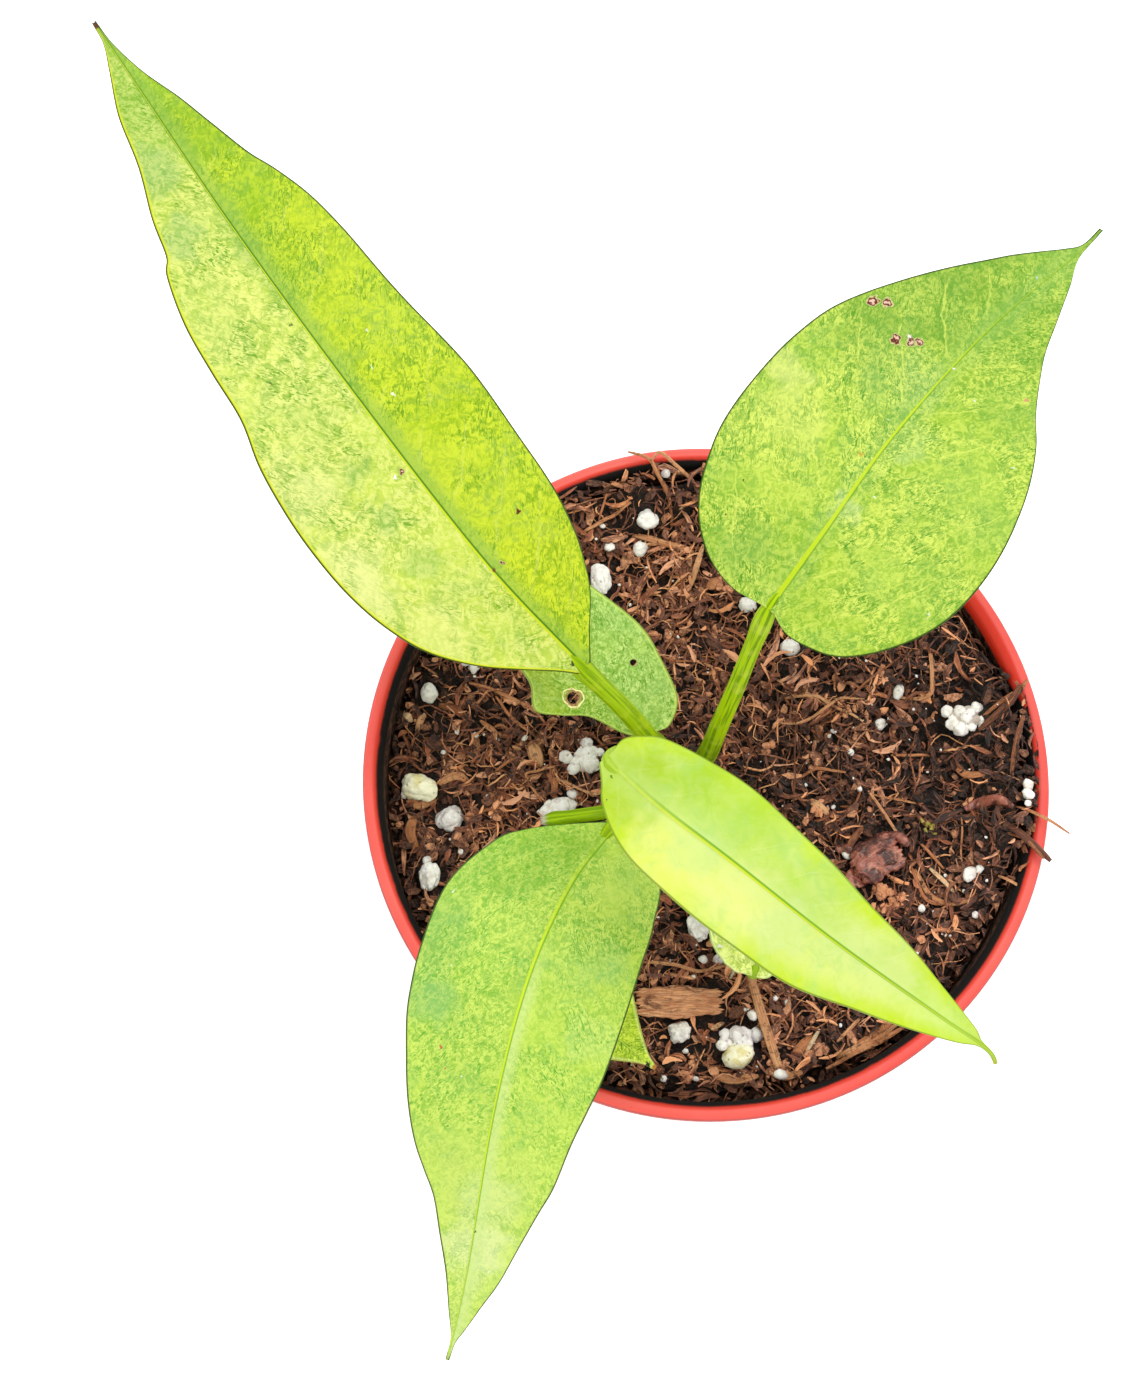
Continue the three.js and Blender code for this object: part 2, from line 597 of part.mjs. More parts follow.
function stalkSolid(points, [lowRadius, highRadius], steps) {
  const path = new THREE.CatmullRomCurve3(points, false, 'catmullrom', 0.5);
  const section = new THREE.Shape();
  const sides = 6;
  for (let i = 0; i < sides; i += 1) {
    const angle = (i / sides) * Math.PI * 2;
    const x = Math.cos(angle);
    const y = Math.sin(angle);
    if (i === 0) section.moveTo(x, y);
    else section.lineTo(x, y);
  }
  section.closePath();
  const tube = new THREE.ExtrudeGeometry(section, { steps, bevelEnabled: false, extrudePath: path });
  const centres = path.getSpacedPoints(steps);
  const place = tube.attributes.position;
  const corner = new THREE.Vector3();
  for (let i = 0; i < place.count; i += 1) {
    corner.fromBufferAttribute(place, i);
    const distances = centres.map((centre) => centre.distanceTo(corner));
    const nearest = distances.indexOf(Math.min(...distances));
    const share = nearest / steps;
    const radius = THREE.MathUtils.lerp(lowRadius, highRadius, Math.min(1, share * 1.4));
    corner.sub(centres[nearest]).multiplyScalar(radius).add(centres[nearest]);
    place.setXYZ(i, corner.x, corner.y, corner.z);
  }
  return toSolid(tube);
}

// One leaf is its blade and its stalk, grown together; the stalk's foot stops short of the stem

function leafSolid(leaf, stemCut) {
  const midrib = curveThrough(leaf.midrib);
  const length = midrib.getLength();
  const inside = [0.4, 4].map((u) => bladePlace(leaf, midrib, length, u, 0, 0, bladeThickness + 0.35));
  const route = [...leaf.stalk.map((point) => new THREE.Vector3(...point)), ...inside];
  return bladeSolid(leaf).add(stalkSolid(route, leaf.stalkRadius, 11)).subtract(stemCut);
}

// The stalk of a leaf that was cut away, drying at its end

const cutStalk = {
  route: [[-6.6, -2.2, 85.3], [-11, -4.4, 88.2], [-15.6, -5.9, 89.6], [-20.1, -6.5, 89.2], [-25.3, -7, 88]],
  radius: [1.25, 0.8],
};

function wholePlant() {
  const plant = new THREE.Group();
  const add = (name, geometry, finish) => {
    const mesh = new THREE.Mesh(geometry, finishOf(finish));
    mesh.name = name;
    plant.add(mesh);
    return mesh;
  };
  add('pot', toGeometry(potSolid()), 'pot');
  add('soil', toGeometry(soilSolid()), 'soil');
  for (const [name, bark] of Object.entries(barks)) {
    add(name, toGeometry(toSolid(barkGeometry(bark, 0))), 'bark').position.set(bark.x, bark.y, barkLevel(bark));
  }
  perlite.forEach((lump, i) => {
    const name = `perlite_${String(i + 1).padStart(2, '0')}`;
    const mesh = add(name, toGeometry(toSolid(lumpGeometry(lump, 0))), 'perlite');
    mesh.position.set(lump.x, lump.y, lumpHeight(lump));
  });
  add('stem', toGeometry(toSolid(stemGeometry())), 'stem');
  const around = new THREE.CylinderGeometry(stem.radius + clearance, stem.radius + clearance, 60, 14);
  around.rotateX(Math.PI / 2).translate(stem.x, stem.y, stem.top + clearance - 30);
  const stemCut = toSolid(around);
  for (const [name, leaf] of Object.entries(leaves)) {
    add(name, toGeometry(leafSolid(leaf, stemCut)), leaf.finish);
  }
  const stub = cutStalk.route.map((point) => new THREE.Vector3(...point));
  add('cut_stalk', toGeometry(stalkSolid(stub, cutStalk.radius, 8).subtract(stemCut)), 'oldLeaf');
  return plant;
}

export default wholePlant();
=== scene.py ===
import math

import bpy
import numpy as np
from mathutils import Matrix, Vector, noise


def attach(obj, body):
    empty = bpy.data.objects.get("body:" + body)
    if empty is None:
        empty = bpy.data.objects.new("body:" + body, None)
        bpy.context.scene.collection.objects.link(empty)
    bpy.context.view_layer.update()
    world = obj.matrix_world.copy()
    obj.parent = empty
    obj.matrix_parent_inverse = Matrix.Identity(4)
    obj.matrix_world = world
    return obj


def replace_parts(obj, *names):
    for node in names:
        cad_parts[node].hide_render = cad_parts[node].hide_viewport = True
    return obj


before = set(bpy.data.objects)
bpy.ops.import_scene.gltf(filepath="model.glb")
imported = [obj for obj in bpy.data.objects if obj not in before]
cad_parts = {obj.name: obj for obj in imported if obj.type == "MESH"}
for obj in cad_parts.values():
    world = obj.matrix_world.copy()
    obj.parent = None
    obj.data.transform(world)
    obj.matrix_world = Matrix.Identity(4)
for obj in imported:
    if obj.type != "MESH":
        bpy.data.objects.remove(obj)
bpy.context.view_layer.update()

# The pot is one thin shell of red polypropylene, moulded in one shot, with a stepped band and a
# rolled rim. Eight round holes are punched through its base, and it stands on that base.

MM = 0.001
studio_light = 1.6


def ink(red, green, blue):
    """The paint that shows as this screen colour, from 0 to 255, in the studio's light."""
    shares = (red / 255, green / 255, blue / 255)
    seen = (s / 12.92 if s <= 0.04045 else ((s + 0.055) / 1.055) ** 2.4 for s in shares)
    return tuple(light / studio_light for light in seen)


class Wire:
    """A value that runs between the nodes of one finish, with its arithmetic written as Python."""

    def __init__(self, finish, socket):
        self.finish = finish
        self.socket = socket

    def maths(self, operation, *values):
        return self.finish.node("ShaderNodeMath", {"operation": operation}, dict(enumerate(values)))

    def __add__(self, other):
        return self.maths("ADD", self, other)

    def __sub__(self, other):
        return self.maths("SUBTRACT", self, other)

    def __rsub__(self, other):
        return self.maths("SUBTRACT", other, self)

    def __mul__(self, other):
        return self.maths("MULTIPLY", self, other)

    def __truediv__(self, other):
        return self.maths("DIVIDE", self, other)

    def __abs__(self):
        return self.maths("ABSOLUTE", self)

    __radd__ = __add__
    __rmul__ = __mul__

    def ramp(self, low, high):
        """0 below low, 1 above high and a soft rise between them."""
        settings = {"interpolation_type": "SMOOTHSTEP"}
        sockets = {"Value": self, "From Min": low, "From Max": high}
        return self.finish.node("ShaderNodeMapRange", settings, sockets)


class Finish:
    """A procedural material; node() makes each of its nodes and gives the wire from one output."""

    def __init__(self, name):
        self.material = bpy.data.materials.new(name)
        self.material.use_nodes = True
        self.tree = self.material.node_tree
        self.shader = self.tree.nodes["Principled BSDF"]

    def feed(self, node, key, value):
        socket = node.inputs[key]
        if isinstance(value, Wire):
            self.tree.links.new(value.socket, socket)
        elif socket.type == "RGBA":
            socket.default_value = (*value, 1.0)
        else:
            socket.default_value = value

    def node(self, kind, settings, sockets, output=0):
        made = self.tree.nodes.new(kind)
        for setting, value in settings.items():
            setattr(made, setting, value)
        for key, value in sockets.items():
            self.feed(made, key, value)
        return Wire(self, made.outputs[output])

    def place(self):
        """Where a point lies on the piece, in millimetres."""
        metres = self.node("ShaderNodeTexCoord", {}, {}, "Object")
        return self.node("ShaderNodeVectorMath", {"operation": "SCALE"}, {0: metres, "Scale": 1000.0})

    def fact(self, name, output="Fac"):
        """What the mesh says about a point."""
        return self.node("ShaderNodeAttribute", {"attribute_name": name}, {}, output)

    def split(self, vector):
        cut = self.tree.nodes.new("ShaderNodeSeparateXYZ")
        self.feed(cut, 0, vector)
        return [Wire(self, output) for output in cut.outputs]

    def vector(self, x, y, z):
        return self.node("ShaderNodeCombineXYZ", {}, {0: x, 1: y, 2: z})

    def speckle(self, where, scale, detail=2.0, roughness=0.5, twist=0.0):
        sockets = {"Vector": where, "Scale": scale, "Detail": detail}
        sockets |= {"Roughness": roughness, "Distortion": twist}
        return self.node("ShaderNodeTexNoise", {}, sockets)

    def cells(self, where, scale, feature="F1", output="Distance"):
        return self.node("ShaderNodeTexVoronoi", {"feature": feature},
            {"Vector": where, "Scale": scale}, output)

    def blend(self, share, under, over):
        return self.node("ShaderNodeMix", {"data_type": "RGBA"}, {0: share, 6: under, 7: over}, 2)

    def relief(self, height, depth, strength=1.0):
        sockets = {"Strength": strength, "Distance": depth * MM, "Height": height}
        return self.node("ShaderNodeBump", {}, sockets)

    def dress(self, sockets):
        for key, value in sockets.items():
            self.feed(self.shader, key, value)
        return self.material


class Shape:
    """The corners, faces and facts of one mesh, gathered part by part in millimetres."""

    def __init__(self):
        self.corners = []
        self.faces = []
        self.coats = []
        self.facts = []
        self.count = 0

    def add(self, corners, faces, coat=0, **facts):
        corners = np.asarray(corners, float).reshape(-1, 3)
        self.corners.append(corners)
        for group in faces if isinstance(faces, list) else [faces]:
            group = np.asarray(group, int)
            self.faces.append(group + self.count)
            self.coats.append(np.full(len(group), coat))
        self.facts.append(facts)
        self.count += len(corners)
        return self

    def piece(self, name, finishes, smooth=True):
        mesh = bpy.data.meshes.new(name)
        corners = np.concatenate(self.corners) * MM
        loops = np.concatenate([group.ravel() for group in self.faces])
        sizes = np.concatenate([np.full(len(group), group.shape[1]) for group in self.faces])
        mesh.vertices.add(len(corners))
        mesh.vertices.foreach_set("co", corners.ravel())
        mesh.loops.add(len(loops))
        mesh.loops.foreach_set("vertex_index", loops)
        mesh.polygons.add(len(sizes))
        mesh.polygons.foreach_set("loop_start", np.concatenate([[0], np.cumsum(sizes)[:-1]]))
        mesh.polygons.foreach_set("material_index", np.concatenate(self.coats))
        mesh.polygons.foreach_set("use_smooth", np.full(len(sizes), smooth))
        mesh.update(calc_edges=True)
        mesh.validate()
        for fact in sorted({key for facts in self.facts for key in facts}):
            wide = any(np.ndim(facts.get(fact, 0)) == 2 for facts in self.facts)
            values = []
            for corners, facts in zip(self.corners, self.facts):
                value = np.asarray(facts.get(fact, 0.0), float)
                values.append(np.broadcast_to(value, (len(corners), 3) if wide else (len(corners),)))
            kind, field = ("FLOAT_VECTOR", "vector") if wide else ("FLOAT", "value")
            layer = mesh.attributes.new(fact, kind, "POINT")
            layer.data.foreach_set(field, np.concatenate(values).ravel())
        for finish in finishes:
            mesh.materials.append(finish)
        made = bpy.data.objects.new(name, mesh)
        bpy.context.scene.collection.objects.link(made)
        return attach(made, "root")


def catmull(points, share):
    """Places on the smooth curve through the points, at shares from 0 to 1 of their number."""
    known = np.asarray(points, float)
    spans = len(known) - 1
    known = np.vstack([2 * known[0] - known[1], known, 2 * known[-1] - known[-2]])
    place = np.clip(np.asarray(share, float), 0, 1) * spans
    first = np.minimum(place.astype(int), spans - 1)
    w = (place - first)[..., None]
    before, start, end, after = (known[first + i] for i in range(4))
    leave = (end - before) / 2
    arrive = (after - start) / 2
    cubic = 2 * start - 2 * end + leave + arrive
    square = -3 * start + 3 * end - 2 * leave - arrive
    return cubic * w**3 + square * w**2 + leave * w + start


def ring_faces(rows, sides, closed=False):
    """Quads that join rows of corners, each row a ring of so many sides."""
    row = np.arange(rows if closed else rows - 1)[:, None]
    side = np.arange(sides)[None, :]
    up = (row + 1) % rows
    turn = (side + 1) % sides
    quads = [row * sides + side, row * sides + turn, up * sides + turn, up * sides + side]
    return np.stack([q + 0 * row for q in quads], axis=-1).reshape(-1, 4)


def turned(profile, sides):
    """The corners of a turned shape, whose profile is a list of radius and height."""
    angles = np.arange(sides) / sides * 2 * np.pi
    radius, height = np.asarray(profile, float).T
    x = radius[:, None] * np.cos(angles)
    y = radius[:, None] * np.sin(angles)
    return np.stack([x, y, height[:, None] + 0 * x], axis=-1)


pot_height = 88.0
pot_sides = 192
foot_radius = 36.5
shoulder_radius = 47.2
band_foot = 73
# How far out a loose piece may lie at each height, past the bead of the rim once it lies above it.
# The first value also holds lower down, though below the band the wall's inner face is 2.8 mm
# further in.
free_radius = ([85.0, 86.6, 87.5, 88.3], [48.8, 49.1, 49.6, 50.8])
drain = {"count": 8, "ring": 25.0, "radius": 2.6}


def pot_profile():
    """From the middle of the foot up the outside, over the rolled rim and down the inside."""
    foot = [(0.05, 0.0), (8.0, 0.0), (22.0, 0.0), (28.0, 0.0), (33.9, 0.0), (34.6, 0.06), (35.4, 0.35)]
    foot += [(36.0, 0.8), (36.4, 1.4), (36.55, 2.2)]
    outside = [(foot_radius + (shoulder_radius - foot_radius) * h / band_foot, h) for h in range(4, 72, 6)]
    outside += [(47.05, 72.0), (47.25, 73.0), (47.7, 73.5), (48.9, 73.9), (49.6, 74.3), (49.95, 75.0)]
    outside += [(50.1, 76.5), (50.4, 80.0), (50.65, 84.0)]
    rim = [(50.72, 84.6), (51.3, 84.75), (52.1, 85.1), (52.5, 86.4), (52.3, 87.4), (51.4, 87.97)]
    rim += [(50.6, 87.85), (49.9, 87.3), (49.5, 86.6)]
    smooth_rim = catmull(rim, np.linspace(0, 1, 40)).tolist()
    inside = [(49.35, 85.0), (49.1, 80.0), (48.95, 76.0), (48.6, 75.0), (47.0, 73.9), (46.1, 73.2)]
    inside += [(46.0 - (46.0 - 35.9) * (72 - h) / 70, h) for h in range(70, 3, -6)]
    base = [(35.7, 3.0), (35.2, 2.0), (34.1, 1.5), (32.0, 1.4), (22.0, 1.4), (8.0, 1.4), (0.05, 1.4)]
    return foot + outside + [tuple(point) for point in smooth_rim] + inside + base


# Where the inside of the wall under the rim is lit and clean, so its painted shade and dirt start lower
# there
lit_clean_wall = (45.0, 26.0, 87.0)


def pot_plastic():
    """Glossy red plastic with flow marks, fine scuffs and dust in the scuffs; painted shade on its right
    side and on the bead's outer edge and inner flank; a painted highlight along the crest; dirt and painted
    shade low down inside.
    """
    finish = Finish("red_polypropylene")
    place = finish.place()
    x, y, height = finish.split(place)
    flow = finish.speckle(finish.vector(x * 0.05, y * 0.05, height * 0.35), 1.0, 3.0)
    dapple = finish.speckle(place, 0.12, 3.0, 0.6)
    scuff = finish.speckle(finish.vector(x, y, height * 0.2), 1.7, 4.0, 0.7).ramp(0.62, 0.78)
    dust = finish.speckle(place, 2.4, 3.0, 0.7).ramp(0.66, 0.74)
    colour = finish.blend(flow.ramp(0.35, 0.65), ink(272, 88, 78), ink(282, 104, 92))
    # Painted shade: the red is painted darker towards the pot's right side.
    colour = finish.blend(x.ramp(-10.0, 48.0) * 0.4, colour, ink(204, 54, 42))
    colour = finish.blend(dapple.ramp(0.45, 0.75) * 0.35, colour, ink(253, 122, 106))
    colour = finish.blend(scuff * 0.3, colour, ink(253, 172, 156))
    colour = finish.blend(dust * 0.5, colour, ink(150, 62, 46))
    radius = finish.fact("radius")
    # Below a wavy line the inner wall is dirty and painted near black as painted shade of the gap by the
    # mix; the line lies lower near the lit, clean wall under the rim.
    lit_clean_apart = finish.node("ShaderNodeVectorMath", {"operation": "DISTANCE"}, {0: place, 1: lit_clean_wall}, "Value")
    shade_and_dirt_level = 87.5 - 2.8 * (1 - lit_clean_apart.ramp(5.0, 17.0)) + 0.9 * finish.speckle(place, 0.3, 4.0, 0.65)
    within = finish.fact("within")
    outside = (1 - within) * (1 - height.ramp(83.5, 85.5))
    colour = finish.blend(outside * 0.8, colour,
        finish.blend(flow.ramp(0.35, 0.65), ink(214, 42, 34), ink(222, 50, 40)))
    shaded = within * (1 - radius.ramp(49.3, 50.1)) * height.ramp(80.0, 84.0)
    colour = finish.blend(shaded * 0.9, colour, ink(104, 22, 12))
    # Painted highlight: a lighter band along the top of the rim's bead.
    crest_highlight = (1 - abs(radius - 51.6).ramp(0.1, 0.55)) * height.ramp(86.6, 87.3)
    colour = finish.blend(crest_highlight * 0.35, colour, ink(280, 124, 110))
    # Painted shade: a thin dark line along the bead's steep outer edge.
    outer_edge_shade = radius.ramp(52.15, 52.42) * height.ramp(85.5, 86.5)
    colour = finish.blend(outer_edge_shade * 0.75, colour, ink(176, 46, 34))
    # Painted shade: the bead's inner flank is painted a deeper, darker red.
    colour = finish.blend(within * (1 - radius.ramp(50.6, 51.2)) * 0.85, colour, ink(246, 56, 30))
    # Dirt and painted shade: near black with specks of caked mix, below that line.
    dirt_and_shade = within * (1 - radius.ramp(50.2, 50.7)) * (1 - (height - shade_and_dirt_level).ramp(-0.35, 0.25))
    caked = finish.speckle(place, 0.9, 4.0, 0.65).ramp(0.42, 0.62)
    stuck = caked * (1 - height.ramp(84.2, 86.2))
    colour = finish.blend(dirt_and_shade, colour, finish.blend(stuck, ink(10, 6, 4), ink(128, 84, 64)))
    grain = finish.speckle(place, 3.0, 3.0, 0.6) * 0.6 + scuff * 0.8
    roughness = 0.32 + 0.16 * dapple + 0.25 * scuff + 0.4 * dirt_and_shade
    sockets = {"Base Color": colour, "Roughness": roughness, "Normal": finish.relief(grain, 0.06, 0.35)}
    return finish.dress(sockets | {"Specular IOR Level": 0.28})


def pressed_out(corners):
    """The shell a little out of round towards its rim, at the back and the right, as soft pots are."""
    heading = np.arctan2(corners[..., 1], corners[..., 0])
    share = (corners[..., 2] / pot_height) ** 4
    out_x = 0.35 * share * np.maximum(0, np.cos(heading)) ** 2
    out_y = 0.8 * share * np.maximum(0, np.sin(heading)) ** 2
    return corners + np.stack([out_x, out_y, 0 * share], axis=-1)


def make_pot():
    profile = pot_profile()
    top_row = max(range(len(profile)), key=lambda row: profile[row][1])
    facts = {"within": np.repeat(np.arange(len(profile)) > top_row, pot_sides)}
    facts["radius"] = np.repeat([point[0] for point in profile], pot_sides)
    corners = pressed_out(turned(profile, pot_sides))
    shell = Shape().add(corners, ring_faces(len(profile), pot_sides), **facts)
    for row in (0, len(profile) - 1):
        ring = np.arange(pot_sides) + row * pot_sides
        shell.faces.append((ring[::-1] if row == 0 else ring)[None, :])
        shell.coats.append(np.zeros(1, int))
    pot = shell.piece("pot_shell", [pot_plastic()])
    punch = Shape()
    for i in range(drain["count"]):
        angle = i / drain["count"] * 2 * math.pi
        rod = turned([(drain["radius"], -3.0), (drain["radius"], 5.0)], 32)
        rod = rod + np.array([math.cos(angle), math.sin(angle), 0.0]) * drain["ring"]
        caps = [ring_faces(2, 32), np.arange(32)[None, ::-1], np.arange(32, 64)[None, :]]
        punch.add(rod, caps)
    punches = punch.piece("punches", [])
    cut = pot.modifiers.new("drain_holes", "BOOLEAN")
    cut.object = punches
    cut.solver = "EXACT"
    whole = bpy.data.meshes.new_from_object(pot.evaluated_get(bpy.context.evaluated_depsgraph_get()))
    pot.modifiers.clear()
    pot.data = whole
    bpy.data.objects.remove(punches)
    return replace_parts(pot, "pot")


make_pot()

# The potting mix is coir, bark crumbs and dark humus, filled loose and banked up to the rim at the
# back right. Its body is one bed; crumbs, chips and fibres lie on it in a mat with dark gaps.

soil_level = 80.5
soil_mound = 0.8
soil_bank = 2.0
soil_rim = 47.3
stem_place = np.array([-3.4, -1.8])


def banked_side(angle):
    """1 where the mix is banked up against the rim, at the back right, and 0 across from there."""
    return 0.5 + 0.5 * np.sin(angle + 0.8)


def level_at(x, y):
    """Height of the top of the mix without its lumps."""
    mound = soil_mound * np.exp(-(x * x + y * y) / 500)
    bank = soil_bank * banked_side(np.arctan2(y, x)) * (np.hypot(x, y) / soil_rim) ** 3
    return soil_level + 0.04 * x + 0.03 * y + mound + bank


# Where loose mix is heaped against the rim: heading in degrees, half width in degrees, and height
heaps = [(0, 20, 4.5), (106, 26, 3.6)]


def heaped(x, y):
    """How much higher the mix lies where it is heaped against the rim."""
    angle = np.degrees(np.arctan2(y, x))
    rise = 0 * angle
    for heading, half, high in heaps:
        apart = (angle - heading + 180) % 360 - 180
        rise = rise + high * np.exp(-((apart / half) ** 4))
    return rise * np.clip((np.hypot(x, y) - soil_rim + 7.0) / 7.0, 0, 1.08) ** 1.5


def mix_at(x, y):
    """Height of the top of the mix with its lumps."""
    level = level_at(x, y)
    crumb = 0.55 * np.sin(0.62 * x + 1.9 * np.sin(0.31 * y))
    crumb += 0.5 * np.sin(0.71 * y - 1.6 * np.sin(0.37 * x + 0.8))
    crumb += 0.35 * np.sin(1.37 * x + 1.13 * y)
    beside_stem = np.minimum(1, np.hypot(x - stem_place[0], y - stem_place[1]) / 10)
    return level + beside_stem * crumb + heaped(x, y)


def edge_at(angle):
    waves = 0.9 * np.sin(angle + 0.4) + 0.3 * np.sin(3 * angle + 1.2) + 0.2 * np.sin(7 * angle)
    return soil_rim + waves


# Where the mix has sunk away from the wall: heading in degrees, half width in degrees, and depth
hollows = [(264, 40, 3.0), (30, 10, 1.6), (208, 20, 1.2), (305, 22, 2.0)]


def sunk_at(x, y):
    """How far the mix has sunk beside the wall, and nothing away from it."""
    angle = np.degrees(np.arctan2(y, x))
    depth = 0.3 + 0 * angle
    for heading, half, deep in hollows:
        apart = (angle - heading + 180) % 360 - 180
        depth = depth + deep * np.exp(-((apart / half) ** 2))
    return depth * np.clip((np.hypot(x, y) - soil_rim + 2.2) / 2.2, 0, 1.5) ** 1.5


# Places where the mix is painted paler or darker, mostly painted light and painted shade: middle as x and
# y, reach, and how much paler
painted_pale_places = [
    ((0, -37), 14, 0.42), ((-8, 38), 14, 0.3), ((-36, 0), 15, 0.24), ((2, 20), 14, 0.18),
    ((18, 12), 8, 0.12),
    ((38, -4), 9, -0.12), ((10, 2), 8, -0.1), ((44, 16), 7, -0.25), ((-45, 6), 5, -0.2),
    ((33, -17), 6, 0.15),
]


def painted_paleness(x, y):
    """How much paler the mix is painted at a place, mostly as painted light and shade."""
    return sum(gain * np.exp(-np.hypot(x - place[0], y - place[1]) ** 2 / reach**2)
        for place, reach, gain in painted_pale_places)


def bed_lumps(x, y):
    """Lumps and pits of the bed, finer than the height above."""
    lumps = 0.34 * np.sin(2.3 * x + 1.7 * np.sin(1.1 * y)) * np.sin(2.1 * y + 1.3 * np.sin(0.9 * x))
    lumps += 0.22 * np.sin(4.9 * x + 2.2 * np.sin(2.7 * y)) * np.sin(5.3 * y - 1.9 * np.sin(2.2 * x))
    return lumps


def humus():
    """Near black decayed matter, its near black partly painted shade for the gaps between the loose pieces,
    with reddish crumbs and a few pale grains.
    """
    finish = Finish("humus")
    place = finish.place()
    lump = finish.speckle(place, 0.9, 4.0, 0.7, 0.6)
    grit = finish.cells(place, 1.6)
    colour = finish.blend(lump.ramp(0.42, 0.7), ink(22, 14, 10), ink(96, 60, 44))
    colour = finish.blend((1 - grit.ramp(0.1, 0.32)) * lump.ramp(0.5, 0.7), colour, ink(156, 104, 76))
    rough = 0.8 + 0.15 * lump
    bumps = lump + (1 - grit) * 0.6
    return finish.dress({"Base Color": colour, "Roughness": rough,
        "Normal": finish.relief(bumps, 0.8, 0.9)})


def make_bed():
    rings, sides = 110, 240
    angles = np.arange(sides) / sides * 2 * np.pi
    share = np.linspace(1, 0.004, rings)[:, None] ** 0.8
    radius = edge_at(angles)[None, :] * share
    x = radius * np.cos(angles)
    y = radius * np.sin(angles)
    z = mix_at(x, y) - 0.9 + bed_lumps(x, y) - sunk_at(x, y)
    body = [(33.6, 1.7), (35.3, 2.6), (35.9, 4.0), (45.2, 71.5), (46.2, 74.2)]
    lower = turned(body, sides)
    corners = np.concatenate([lower, np.stack([x, y, z], axis=-1)])
    rows = len(corners)
    middle = [np.arange(sides)[None, ::-1], (np.arange(sides) + (rows - 1) * sides)[None, :]]
    bed = Shape().add(corners, [ring_faces(rows, sides), *middle])
    made = bed.piece("potting_mix_bed", [humus()])
    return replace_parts(made, "soil")


make_bed()

# Loose crumbs of humus and bark lie all over the bed, and tan ones in small heaps. They are sieved
# lumps of up to two millimetres, so each is a faceted grain with its own size, turn and tone.

perlite = [
    (-8.5, 42.3, (3.6, 3.4, 3.2), 0.0), (-15.9, 32.7, (3.2, 5.4, 3.4), 0.2),
    (-44.0, 0.0, (6.2, 4.6, 4.2), -0.3), (-39.1, -4.7, (4.5, 4.0, 3.6), 0.4),
    (-42.6, 15.0, (2.9, 3.4, 2.8), 0.1), (-42.2, -14.0, (3.4, 4.9, 3.4), 0.1),
    (40.3, 10.2, (8.0, 6.0, 4.2), 0.3), (13.8, 22.2, (3.2, 3.0, 2.8), 0.0),
    (-1.1, -21.9, (3.6, 4.8, 3.4), 0.5), (-3.9, -38.0, (3.7, 3.5, 3.2), 0.0),
    (4.8, -39.4, (6.6, 5.6, 3.8), 0.4), (-18.4, 4.4, (4.8, 3.8, 3.0), 0.8),
    (-22.4, -3.2, (6.2, 3.6, 3.0), 0.2), (7.3, 29.1, (2.9, 2.8, 2.6), 0.3),
]
barks = {
    "bark_slab": ((-4.0, -33.6), (13.8, 5.0, 1.6), 0.02, 0.04),
    "bark_chunk": ((26.4, -11.6), (8.4, 6.8, 2.6), 0.5, -0.12),
}


def clear_of_lumps(x, y, room):
    """True where a loose piece leaves the perlite, the bark and the stem uncovered."""
    free = np.hypot(x - stem_place[0], y - stem_place[1]) > 4.4 + room
    for lump_x, lump_y, (length, width, _), turn in perlite:
        dx, dy = x - lump_x, y - lump_y
        along = dx * math.cos(turn) + dy * math.sin(turn)
        aside = dy * math.cos(turn) - dx * math.sin(turn)
        free &= np.hypot(along / (length / 2 + room), aside / (width / 2 + room)) > 1
    for (bark_x, bark_y), (length, width, _), turn, _ in barks.values():
        dx, dy = x - bark_x, y - bark_y
        along = dx * math.cos(turn) + dy * math.sin(turn)
        aside = dy * math.cos(turn) - dx * math.sin(turn)
        free &= (abs(along) > length / 2 + room) | (abs(aside) > width / 2 + room)
    return free


def strewn(dice, count, room, margin):
    """Places spread evenly over the bed, clear of the lumps and of the wall."""
    angle = dice.random(count * 3) * 2 * np.pi
    radius = np.sqrt(dice.random(count * 3)) * (edge_at(angle) - margin)
    outward = 0.4 * heaped(radius * np.cos(angle), radius * np.sin(angle))
    radius = radius + outward + (radius / soil_rim) ** 8
    x, y = radius * np.cos(angle), radius * np.sin(angle)
    free = clear_of_lumps(x, y, room)
    return x[free][:count], y[free][:count]


def kept_inside(corners):
    """Corners drawn in where they would go through the pot's wall."""
    reach = np.hypot(corners[..., 0], corners[..., 1])
    share = np.minimum(1, np.interp(corners[..., 2], *free_radius) / np.maximum(reach, 1))
    return corners * np.stack([share, share, np.ones_like(share)], axis=-1)


def turns(dice, count, tilt):
    """Turning matrices: any heading, tipped by up to the tilt."""
    heading = dice.random(count) * 2 * np.pi
    pitch = (dice.random(count) - 0.5) * 2 * tilt
    roll = (dice.random(count) - 0.5) * 2 * tilt
    ch, sh, cp, sp, cr, sr = (f(a) for a in (heading, pitch, roll) for f in (np.cos, np.sin))
    rows = [
        [ch * cp, ch * sp * sr - sh * cr, ch * sp * cr + sh * sr],
        [sh * cp, sh * sp * sr + ch * cr, sh * sp * cr - ch * sr],
        [-sp, cp * sr, cp * cr],
    ]
    return np.stack([np.stack(row, axis=-1) for row in rows], axis=1)


def repeated(faces, corners_each, count):
    """The faces of one loose piece, numbered again for each of its copies."""
    first_corners = (np.arange(count) * corners_each)[:, None, None]
    return (np.asarray(faces)[None] + first_corners).reshape(-1, len(faces[0]))


